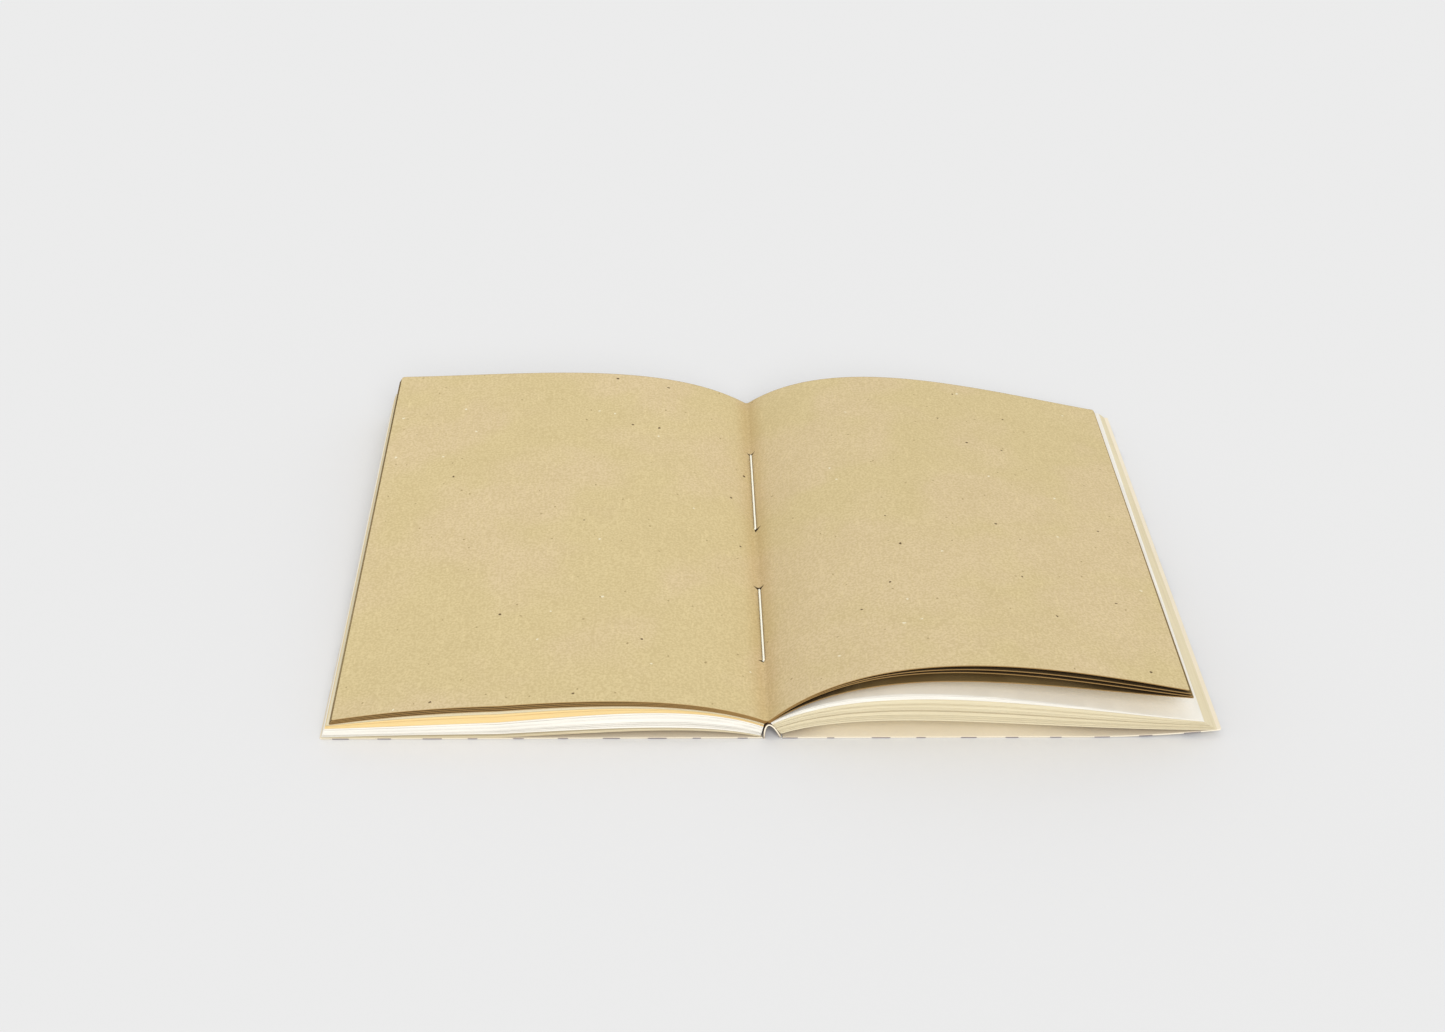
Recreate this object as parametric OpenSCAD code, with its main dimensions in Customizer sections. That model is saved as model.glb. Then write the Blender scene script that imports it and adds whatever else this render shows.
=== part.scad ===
// Softcover notebook of sewn paper sections, lying open at its kraft section.
// X runs across the open book, Y from tail (near) to head (far), Z up.
// Every four-number size below is a curve across the page: its value at the
// fold, at the inner handle, at the outer handle and at the fore-edge.

/* [Book] */
// Height of the pages and the cover, tail to head
page_h = 210; // [150:1:260]
// Reach of a cover panel from its spine crease to its outer edge
cover_w = 147.9; // [130:0.1:170]
// Thickness of the cover card
card_t = 0.5; // [0.3:0.05:0.8]
// Width of the spine strip's foot, crease to crease
spine_w = 6; // [5.6:0.1:7]
// Height of the spine strip's arch under the fold
spine_rise = 5.9; // [5:0.1:6.2]
// Clear space between the card pieces at a crease
crease_gap = 0.3; // [0.1:0.05:0.5]
// Place of the handle that bends the spine strip's right leg, across the book
strip_lean_x = -0.8; // [-1.2:0.1:-0.4]
// Air between one section and the next
sheet_gap = 0.05; // [0.02:0.01:0.1]

/* [Fold] */
// Place of the fold line across the book, left of the middle of the spine
fold_x = -1.85; // [-2.2:0.05:-1.5]
// Height of the fold's upper face over the table
fold_z = 7.5; // [7.3:0.1:9]
// Thickness of the folded sheets at the fold
fold_t = 0.5; // [0.4:0.05:0.55]
// Clear space from the fold piece to the leaves on each side
fold_gap = 0.3; // [0.2:0.05:0.5]

/* [Thread] */
// Diameter of the sewing thread
thread_d = 0.7; // [0.4:0.05:0.8]
// Clear space round the thread in its holes
thread_clear = 0.05; // [0.03:0.01:0.1]
// Length of the thread's tail behind the fold at each outer hole
thread_tail = 6; // [2:0.5:9]
// Places of the four holes along the fold, from the tail end
hole_y = [33, 76, 115.5, 168]; // [10:0.5:200]

/* [Page curve] */
// Place of the inner handle, from the fold line
handle_in = 36; // [30:1:42]
// Place of the outer handle, from the fold line
handle_out = 94; // [85:1:105]

/* [Left stack] */
// Underside of the left stack at the tail
left_bed_tail = [0.7, 9.0, -4.2, 0.6]; // [-6:0.1:20]
// Underside of the left stack at the head
left_bed_head = [0.7, 13.6, 1.8, 6.0]; // [-6:0.1:20]
// How far the left stack's lowest leaf stops inside the cover's outer edge
left_inset = 0.45; // [0.1:0.05:6]
// How far each millimetre of stack sets its fore-edge back on the left
left_bevel = 0.4; // [0:0.05:1]
// How far each millimetre of stack sets its back towards the fold on the left
left_lean = 0.2; // [0:0.05:0.4]
// Thickness of the last leaf on the left
last_left_t = [0.5, 1.0, 0.9, 0.3]; // [0.2:0.1:3]
// Thickness of the lower white section on the left
white_lower_t = [2.1, 7.4, 0.7, 1.8]; // [0.5:0.1:8]
// Thickness of the upper white section on the left
white_upper_t = [1.8, 2.2, 2.6, 1.9]; // [0.5:0.1:8]
// Thickness of the yellow section
yellow_t = [0.6, 0.4, 6.8, 1.1]; // [0.3:0.1:8]
// Thickness of the cream section on the left
cream_left_t = [0.6, 0.4, 2.2, 0.5]; // [0.3:0.1:8]
// Air over the last leaf on the left
last_left_air = [0.05, 0.4, 1.6, 0.05]; // [0.02:0.01:3]
// Air under the left kraft leaves at the head
kraft_left_air = [0.05, 0.9, 1.5, 6.1]; // [0.02:0.01:8]

/* [Right stack] */
// Underside of the right stack at the tail
right_bed_tail = [2.0, 14.0, 2.6, 3.2]; // [0:0.1:20]
// Underside of the right stack at the head
right_bed_head = [2.0, 14.8, 2.8, 0.6]; // [0:0.1:20]
// Share of the right stack's thickness that is left at the head, where it is pressed
right_press_head = [1, 1, 0.9, 0.5]; // [0.5:0.05:1]
// How far the right stack's lowest leaf stops inside the cover's outer edge
right_inset = 1.35; // [0.3:0.05:6]
// How far each millimetre of stack sets its fore-edge back on the right
right_bevel = 1.4; // [0:0.05:1.8]
// How far each millimetre of stack sets its back towards the fold on the right
right_lean = 0.75; // [0:0.05:0.8]
// Thickness of the last leaf on the right
last_right_t = [0.4, 0.6, 0.6, 0.4]; // [0.2:0.1:3]
// Thickness of the lowest cream section on the right
cream_1_t = [0.9, 1.3, 1.8, 0.7]; // [0.3:0.1:8]
// Thickness of the second cream section on the right
cream_2_t = [0.9, 3.0, 1.8, 0.7]; // [0.3:0.1:8]
// Thickness of the third cream section on the right
cream_3_t = [0.8, 2.2, 1.6, 0.7]; // [0.3:0.1:8]
// Thickness of the uppermost cream section on the right
cream_4_t = [1.1, 4.4, 4.3, 0.9]; // [0.3:0.1:8]
// Thickness of the white section on the right
white_right_t = [0.7, 4.2, 0.8, 0.9]; // [0.3:0.1:8]
// Lift of the right kraft leaves over the white section at the tail
kraft_lift_tail = [0.05, 5.4, 7.0, 9.2]; // [0.05:0.05:12]
// Lift of the right kraft leaves over the white section at the head
kraft_lift_head = [0.05, 0.2, 0.3, 0.35]; // [0.05:0.05:12]

/* [Kraft leaves] */
// Thickness of one kraft leaf
leaf_t = 0.28; // [0.2:0.01:0.32]
// How far the left kraft leaves stop inside the stack's reach at the tail
kraft_left_short_tail = 3.2; // [1.5:0.1:10]
// How far the left kraft leaves stop inside the stack's reach at the head
kraft_left_short_head = 4.3; // [1.5:0.1:10]
// How far the right kraft leaves stop inside the stack's reach at the tail
kraft_right_short_tail = 9.9; // [8:0.1:18]
// How far the right kraft leaves stop inside the stack's reach at the head
kraft_right_short_head = 4.6; // [3:0.1:18]
// How far each millimetre of fan sets a leaf's edge back
kraft_bevel = 0.6; // [0:0.05:1]
// Air between the left leaves
fan_left = [0.06, 0.34, 0.5, 0.3]; // [0.05:0.01:2]
// Air between the lowest right leaf and the next at the tail
fan_low = [0.06, 5.2, 3.8, 0.3]; // [0.05:0.01:8]
// Air between the second and third right leaf at the tail
fan_middle = [0.06, 0.2, 2.1, 0.8]; // [0.05:0.01:8]
// Air between the two uppermost right leaves at the tail
fan_high = [0.06, 0.2, 2.8, 1.2]; // [0.05:0.01:8]
// Air between the right leaves at the head
fan_head = [0.06, 0.1, 0.3, 0.06]; // [0.05:0.01:2]

/* [Cover curl] */
// Distance from the fold line at which the back cover starts to curl up
curl_start = 107; // [90:1:130]
// Height that the back cover's outer edge has curled up at the tail
curl_tail = 3; // [0.2:0.1:5]
// Height that the back cover's outer edge has curled up at the head
curl_head = 0.2; // [0.1:0.1:5]

/* [Hidden] */

// Spans across a page and along the book in each curved surface
ACROSS = 22;
ALONG = 3;
LEFT = -1;
RIGHT = 1;
LEAVES = 4;
NONE = [0, 0, 0, 0];
WHOLE = [1, 1, 1, 1];
// Spans from the fold over which the kraft leaves of a side stay joined
JOIN = 1;
CURL_SPANS = 8;
STRIP_SPANS = 24;

half_h = page_h / 2;
crease_x = spine_w / 2;
cover_edge = crease_x + cover_w;
left_reach = cover_edge + fold_x - left_inset;
right_reach = cover_edge - fold_x - right_inset;
thread_r = thread_d / 2;
trough_r = thread_r + thread_clear;
fold_half = trough_r + fold_t;
root_gap = fold_half + fold_gap;
fold_axis_z = fold_z + trough_r;
back_run_z = fold_z - fold_t - thread_clear - thread_r;
kraft_left_tail_air = sheet_gap * WHOLE;

// Middle line of the spine strip: a steep left leg and a slanting right leg
foot_z = 0.5;
arch_sum = (spine_rise - card_t / 2 - foot_z / 8) / 0.375;
strip_x = [card_t / 2 - crease_x, -crease_x, strip_lean_x, crease_x - crease_gap];
strip_z = [0, 0.44 * arch_sum, 0.56 * arch_sum, foot_z];

// Value of a four-number curve at t, from the fold (0) to the fore-edge (1)
function curve(c, t) =
    c[0] * pow(1 - t, 3) + 3 * c[1] * t * pow(1 - t, 2) + 3 * c[2] * t * t * (1 - t) + c[3] * pow(t, 3);

// Blend of two values along the book, v = 0 at the tail and 1 at the head
function along(tail, head, v) = tail + (head - tail) * v;

// Height of the cover's inner face under a place x, at v along the book
function curl(x, v) =
    x > fold_x + curl_start
        ? along(curl_tail, curl_head, v)
            * pow((x - fold_x - curl_start) / (cover_edge - fold_x - curl_start), 2)
        : 0;
function cover_top(x, v) = card_t + curl(x, v);

// Stack of one side: [direction, bed at tail, bed at head, reach, bevel, lean, press at head]
left_side = [LEFT, left_bed_tail, left_bed_head, left_reach, left_bevel, left_lean, WHOLE];
right_side = [
    RIGHT, right_bed_tail, right_bed_head, right_reach, right_bevel, right_lean, right_press_head
];

// Growth of each stack from its bed upwards
left_steps = [last_left_t, last_left_air, white_lower_t, white_upper_t, yellow_t, cream_left_t];
right_steps = [last_right_t, cream_1_t, cream_2_t, cream_3_t, cream_4_t, white_right_t];

// Sum of the first k growths of a stack
function grown(steps, k) = k == 0 ? NONE : grown(steps, k - 1) + steps[k - 1];

// The same sum at v along the book, where the head may be pressed thinner
function pressed(side, steps, k, v) =
    let (press = along(WHOLE, side[6], v), sum = grown(steps, k))
    [for (i = [0:3]) press[i] * sum[i]];

// Total growth of a stack at its fold end
function root_total(steps) = grown(steps, len(steps))[0];

// Point of a stack's level: rise is the growth over the bed at this v, reach and
// bevel place the fore-edge, and the back leans towards the fold as it rises
function level_point(side, rise, top_root, reach, bevel, v, t) =
    let (
        bed = along(side[1], side[2], v),
        root_x = root_gap + side[5] * max(0, top_root - rise[0]),
        edge_x = reach - bevel * rise[3],
        x = fold_x + side[0] * curve([root_x, handle_in, handle_out, edge_x], t),
        floor_z = cover_top(x, v) + sheet_gap,
        z = max(curve(bed, t), floor_z) + curve(rise, t)
    )
    [x, z];

// Row of one level across the page, lifted by dz
function level_row(side, rise, top_root, reach, bevel, v, dz) =
    [for (i = [0:ACROSS]) level_point(side, rise, top_root, reach, bevel, v, i / ACROSS) + [0, dz]];

// Outline of a section between two rows
function band(low, high) = concat(low, [for (i = [len(high) - 1:-1:0]) high[i]]);

// Solid through outlines with the same number of points, tail to head. Each quad is
// split from its fold side at the tail, so that neighbouring sheets keep their air.
module loft(outlines, direction) {
    n = len(outlines[0]);
    m = len(outlines);
    points = [for (j = [0:m - 1]) for (p = outlines[j]) [p[0], page_h * j / (m - 1) - half_h, p[1]]];
    walls = [
        for (j = [0:m - 2]) for (i = [0:n - 1])
            let (
                a = j * n + i,
                b = j * n + (i + 1) % n,
                outwards = direction * (points[b][0] - points[a][0]) > 0
            )
            each outwards ? [[a, b, b + n], [a, b + n, a + n]] : [[a, b, a + n], [b, b + n, a + n]]
    ];
    ends = [[for (i = [n - 1:-1:0]) i], [for (i = [0:n - 1]) (m - 1) * n + i]];
    faces = concat(walls, ends);
    turned = [for (f = faces) [for (i = [len(f) - 1:-1:0]) f[i]]];
    polyhedron(points = points, faces = direction == LEFT ? turned : faces, convexity = 10);
}

// One section: the k-th growth of a stack
module section(side, steps, k) {
    top = root_total(steps);
    outlines = [
        for (j = [0:ALONG])
            let (v = j / ALONG, low = pressed(side, steps, k, v), high = pressed(side, steps, k + 1, v))
            band(
                level_row(side, low, top, side[3], side[4], v, sheet_gap / 2),
                level_row(side, high, top, side[3], side[4], v, -sheet_gap / 2)
            )
    ];
    loft(outlines, side[0]);
}

// Kraft leaves of one side: four leaves, joined over their first spans
module kraft_leaves(side, steps, lift_tail, lift_head, fans_tail, fans_head, reach_tail, reach_head) {
    top = root_total(steps);
    leaf = leaf_t * WHOLE;
    function rise(k, v) =
        pressed(side, steps, len(steps), v) + along(lift_tail, lift_head, v) + k * leaf
            + along(grown(fans_tail, k), grown(fans_head, k), v);
    function edge(k, v, over) =
        let (
            reach = along(reach_tail, reach_head, v) - kraft_bevel * (rise(k, v)[3] - rise(0, v)[3]),
            level = rise(k, v) + over * leaf
        )
        level_row(side, level, top, reach, 0, v, 0);
    outlines = [
        for (j = [0:ALONG])
            let (v = j / ALONG)
            [
                for (k = [0:LEAVES - 1])
                    let (low = edge(k, v, 0), high = edge(k, v, 1))
                    each concat(
                        [for (i = [(k == 0 ? 0 : JOIN):ACROSS]) low[i]],
                        [for (i = [ACROSS:-1:(k == LEAVES - 1 ? 0 : JOIN)]) high[i]]
                    )
            ]
    ];
    loft(outlines, side[0]);
}

module front_cover() {
    color([0.93, 0.90, 0.80])
        translate([-cover_edge, -half_h, 0])
            cube([cover_w - crease_gap, page_h, card_t]);
}

module back_cover() {
    inner_x = crease_x + crease_gap;
    bend_x = fold_x + curl_start;
    places = concat([inner_x], [for (i = [0:CURL_SPANS]) bend_x + (cover_edge - bend_x) * i / CURL_SPANS]);
    outlines = [
        for (j = [0:ALONG])
            band(
                [for (x = places) [x, curl(x, j / ALONG)]],
                [for (x = places) [x, cover_top(x, j / ALONG)]]
            )
    ];
    color([0.93, 0.89, 0.80]) loft(outlines, RIGHT);
}

// Point of the spine strip's middle line, and the strip's outline round it
function strip_point(t) = [curve(strip_x, t), curve(strip_z, t)];
function strip_side(t, d) =
    let (
        a = strip_point(max(0, t - 0.01)),
        b = strip_point(min(1, t + 0.01)),
        run = (b - a) / norm(b - a)
    )
    strip_point(t) + d * [-run[1], run[0]];

module spine_strip() {
    outer = [for (i = [0:STRIP_SPANS]) strip_side(i / STRIP_SPANS, card_t / 2)];
    inner = [for (i = [STRIP_SPANS:-1:0]) strip_side(i / STRIP_SPANS, -card_t / 2)];
    color([0.93, 0.89, 0.78])
        rotate([90, 0, 0])
            linear_extrude(height = page_h, center = true)
                polygon(concat(outer, inner));
}

// Fold of the kraft section: a half ring of sheets with the thread's holes
module kraft_fold() {
    color([0.78, 0.68, 0.48])
        difference() {
            translate([fold_x, 0, fold_axis_z])
                rotate([90, 0, 0])
                    linear_extrude(height = page_h, center = true)
                        difference() {
                            circle(r = fold_half, $fn = 48);
                            circle(r = trough_r, $fn = 48);
                            translate([-fold_half, 0]) square([2 * fold_half, fold_half]);
                        }
            for (y = hole_y)
                translate([fold_x, y - half_h, back_run_z])
                    cylinder(r = thread_r + thread_clear, h = fold_axis_z - back_run_z, $fn = 24);
        }
}

// Straight run of thread along the fold with round ends
module thread_run(from_y, to_y, z) {
    translate([fold_x, from_y - half_h, z]) {
        rotate([-90, 0, 0]) cylinder(r = thread_r, h = to_y - from_y, $fn = 24);
        sphere(r = thread_r, $fn = 24);
        translate([0, to_y - from_y, 0]) sphere(r = thread_r, $fn = 24);
    }
}

module sewing_thread() {
    color([0.96, 0.94, 0.86])
        union() {
            thread_run(hole_y[0], hole_y[1], fold_axis_z);
            thread_run(hole_y[2], hole_y[3], fold_axis_z);
            thread_run(hole_y[0] - thread_tail, hole_y[0], back_run_z);
            thread_run(hole_y[1], hole_y[2], back_run_z);
            thread_run(hole_y[3], hole_y[3] + thread_tail, back_run_z);
            for (y = hole_y)
                translate([fold_x, y - half_h, back_run_z])
                    cylinder(r = thread_r, h = fold_axis_z - back_run_z, $fn = 24);
        }
}

module last_leaf_left() {
    color([0.95, 0.89, 0.70]) section(left_side, left_steps, 0);
}
module white_section_left_lower() {
    color([0.95, 0.95, 0.92]) section(left_side, left_steps, 2);
}
module white_section_left_upper() {
    color([0.96, 0.96, 0.94]) section(left_side, left_steps, 3);
}
module yellow_section_left() {
    color([0.97, 0.85, 0.56]) section(left_side, left_steps, 4);
}
module cream_section_left() {
    color([0.96, 0.90, 0.72]) section(left_side, left_steps, 5);
}
module kraft_leaves_left() {
    color([0.84, 0.75, 0.55])
        kraft_leaves(left_side, left_steps, kraft_left_tail_air, kraft_left_air,
            [fan_left, fan_left, fan_left], [fan_left, fan_left, fan_left],
            left_reach - kraft_left_short_tail, left_reach - kraft_left_short_head);
}
module last_leaf_right() {
    color([0.95, 0.89, 0.78]) section(right_side, right_steps, 0);
}
module cream_section_right_1() {
    color([0.95, 0.91, 0.77]) section(right_side, right_steps, 1);
}
module cream_section_right_2() {
    color([0.94, 0.90, 0.75]) section(right_side, right_steps, 2);
}
module cream_section_right_3() {
    color([0.95, 0.91, 0.76]) section(right_side, right_steps, 3);
}
module cream_section_right_4() {
    color([0.94, 0.89, 0.74]) section(right_side, right_steps, 4);
}
module white_section_right() {
    color([0.95, 0.95, 0.91]) section(right_side, right_steps, 5);
}
module kraft_leaves_right() {
    color([0.85, 0.77, 0.58])
        kraft_leaves(right_side, right_steps, kraft_lift_tail, kraft_lift_head,
            [fan_low, fan_middle, fan_high], [fan_head, fan_head, fan_head],
            right_reach - kraft_right_short_tail, right_reach - kraft_right_short_head);
}

front_cover();
spine_strip();
back_cover();
kraft_fold();
sewing_thread();
last_leaf_left();
white_section_left_lower();
white_section_left_upper();
yellow_section_left();
cream_section_left();
kraft_leaves_left();
last_leaf_right();
cream_section_right_1();
cream_section_right_2();
cream_section_right_3();
cream_section_right_4();
white_section_right();
kraft_leaves_right();
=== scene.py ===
"""Opened softcover notebook: paper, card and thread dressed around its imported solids.

Sizes in the classes are millimetres and become metres when a mesh is made. X runs across
the open book, Y from its tail edge to its head edge, and Z up.
"""

import logging
import math
from collections.abc import Callable
from dataclasses import dataclass
from enum import Enum

import bpy
import numpy as np
from mathutils import Matrix, Vector


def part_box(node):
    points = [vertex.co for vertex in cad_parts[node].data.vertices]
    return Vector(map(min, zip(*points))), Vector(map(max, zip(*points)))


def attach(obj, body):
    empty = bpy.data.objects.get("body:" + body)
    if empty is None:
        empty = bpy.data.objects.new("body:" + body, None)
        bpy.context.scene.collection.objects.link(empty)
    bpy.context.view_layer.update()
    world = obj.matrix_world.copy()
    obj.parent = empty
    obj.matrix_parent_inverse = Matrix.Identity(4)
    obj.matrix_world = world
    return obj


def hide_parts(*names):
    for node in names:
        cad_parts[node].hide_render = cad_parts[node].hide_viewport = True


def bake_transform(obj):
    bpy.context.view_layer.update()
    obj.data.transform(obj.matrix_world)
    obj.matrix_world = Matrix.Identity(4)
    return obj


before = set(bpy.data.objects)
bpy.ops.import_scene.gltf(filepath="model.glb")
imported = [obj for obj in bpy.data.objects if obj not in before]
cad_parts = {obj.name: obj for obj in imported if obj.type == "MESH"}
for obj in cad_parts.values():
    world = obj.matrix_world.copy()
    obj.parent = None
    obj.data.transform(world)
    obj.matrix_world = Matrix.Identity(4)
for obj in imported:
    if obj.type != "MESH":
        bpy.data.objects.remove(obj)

LOG = logging.getLogger("notebook")
# One millimetre in metres.
MM = 0.001
# The four values of a curve that lies one millimetre up, and of one that adds nothing.
WHOLE = np.ones(4)
NONE = np.zeros(4)
# Darkest and lightest pulp of a paper, as shares of its colour.
DARK_TINT = (0.72, 0.68, 0.6)
LIGHT_TINT = (1.22, 1.22, 1.25)

FourArrays = tuple[np.ndarray, np.ndarray, np.ndarray, np.ndarray]
Place = Callable[[np.ndarray, np.ndarray, np.ndarray], np.ndarray]
Socket = bpy.types.NodeSocket
Groups = dict[str, bpy.types.NodeTree]
Colour = tuple[int, int, int]


class Side(Enum):
    """Half of the open book, with the way its pages run from the fold."""

    LEFT = -1
    RIGHT = 1


class Body(Enum):
    """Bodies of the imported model."""

    SPINE = "spine"
    FRONT = "front_half"
    BACK = "back_half"


HALF_BODY = {Side.LEFT: Body.FRONT, Side.RIGHT: Body.BACK}


class Slot(Enum):
    """Material slots of the pieces."""

    CARD = "cover_card"
    KRAFT = "kraft_paper"
    CREAM = "cream_paper"
    YELLOW = "yellow_paper"
    WHITE = "white_paper"
    THREAD = "linen_thread"


def linear(red: int, green: int, blue: int) -> tuple[float, float, float, float]:
    """Turns a display colour into the linear values that a shader socket takes.

    Args:
        red: Red from 0 to 255.
        green: Green from 0 to 255.
        blue: Blue from 0 to 255.

    Returns:
        The linear colour with full alpha.
    """
    shares = [value / 255 for value in (red, green, blue)]
    turned = [s / 12.92 if s <= 0.04045 else ((s + 0.055) / 1.055) ** 2.4 for s in shares]
    return (turned[0], turned[1], turned[2], 1.0)


def bend(values: np.ndarray, t: np.ndarray) -> np.ndarray:
    """Cubic Bernstein curve: four values weighted by (1-t)^3, 3t(1-t)^2, 3t^2(1-t) and t^3.

    Args:
        values: The four values, first axis 4, broadcast over t.
        t: Places along the curve, 0 at the fold and 1 at the fore-edge.

    Returns:
        The curve's value at each place.
    """
    weights = np.stack([(1 - t) ** 3, 3 * t * (1 - t) ** 2, 3 * t**2 * (1 - t), t**3])
    return (values * weights).sum(axis=0)


def spread(tail: np.ndarray, head: np.ndarray, v: np.ndarray) -> np.ndarray:
    """Straight blend of two sets of four values along the book.

    Args:
        tail: Four values at the tail edge.
        head: Four values at the head edge.
        v: Places along the book, 0 at the tail and 1 at the head.

    Returns:
        Array of four by the shape of v.
    """
    shape = (4,) + (1,) * v.ndim
    start, end = np.reshape(tail, shape), np.reshape(head, shape)
    return start + (end - start) * v


@dataclass(frozen=True)
class BookSizes:
    """Sizes that the pieces share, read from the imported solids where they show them."""

    page_h: float
    card_t: float
    cover_edge: float
    cover_inner: float
    curl_tail: float
    fold_x: float
    fold_half: float
    fold_low: float
    fold_axis_z: float
    thread_r: float
    strip_top: float
    curl_head: float = 0.2
    curl_start: float = 107.0
    sheet_gap: float = 0.05
    fold_gap: float = 0.3
    handle_in: float = 36.0
    handle_out: float = 94.0

    @classmethod
    def from_frame(cls) -> "BookSizes":
        """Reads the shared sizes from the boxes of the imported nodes."""
        cover_low, cover_high = (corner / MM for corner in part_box("front_cover"))
        back_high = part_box("back_cover")[1] / MM
        fold_low, fold_high = (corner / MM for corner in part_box("kraft_fold"))
        thread_low, thread_high = (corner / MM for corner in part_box("sewing_thread"))
        return cls(
            page_h=cover_high.y - cover_low.y,
            card_t=cover_high.z,
            cover_edge=-cover_low.x,
            cover_inner=-cover_high.x,
            curl_tail=back_high.z - cover_high.z,
            fold_x=(fold_low.x + fold_high.x) / 2,
            fold_half=(fold_high.x - fold_low.x) / 2,
            fold_low=fold_low.z,
            fold_axis_z=fold_high.z,
            thread_r=(thread_high.x - thread_low.x) / 2,
            strip_top=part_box("spine_strip")[1].z / MM,
        )

    @property
    def root_gap(self) -> float:
        """Distance from the fold line to the root of the kraft leaves."""
        return self.fold_half + self.fold_gap

    @property
    def trough_z(self) -> float:
        """Height of the fold's upper face, a thread's radius under its axis."""
        return self.fold_axis_z - self.thread_r - self.sheet_gap

    def curl(self, x: np.ndarray, v: np.ndarray) -> np.ndarray:
        """Lift of the back cover: it grows with the square of the way past curl_start."""
        start = self.fold_x + self.curl_start
        share = np.clip((x - start) / (self.cover_edge - start), 0, None)
        return (self.curl_tail + (self.curl_head - self.curl_tail) * v) * share**2


def rows_of(count: int, start: float = 0.0, end: float = 1.0) -> np.ndarray:
    """Evenly spaced places from start to end."""
    return np.linspace(start, end, count)


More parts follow.
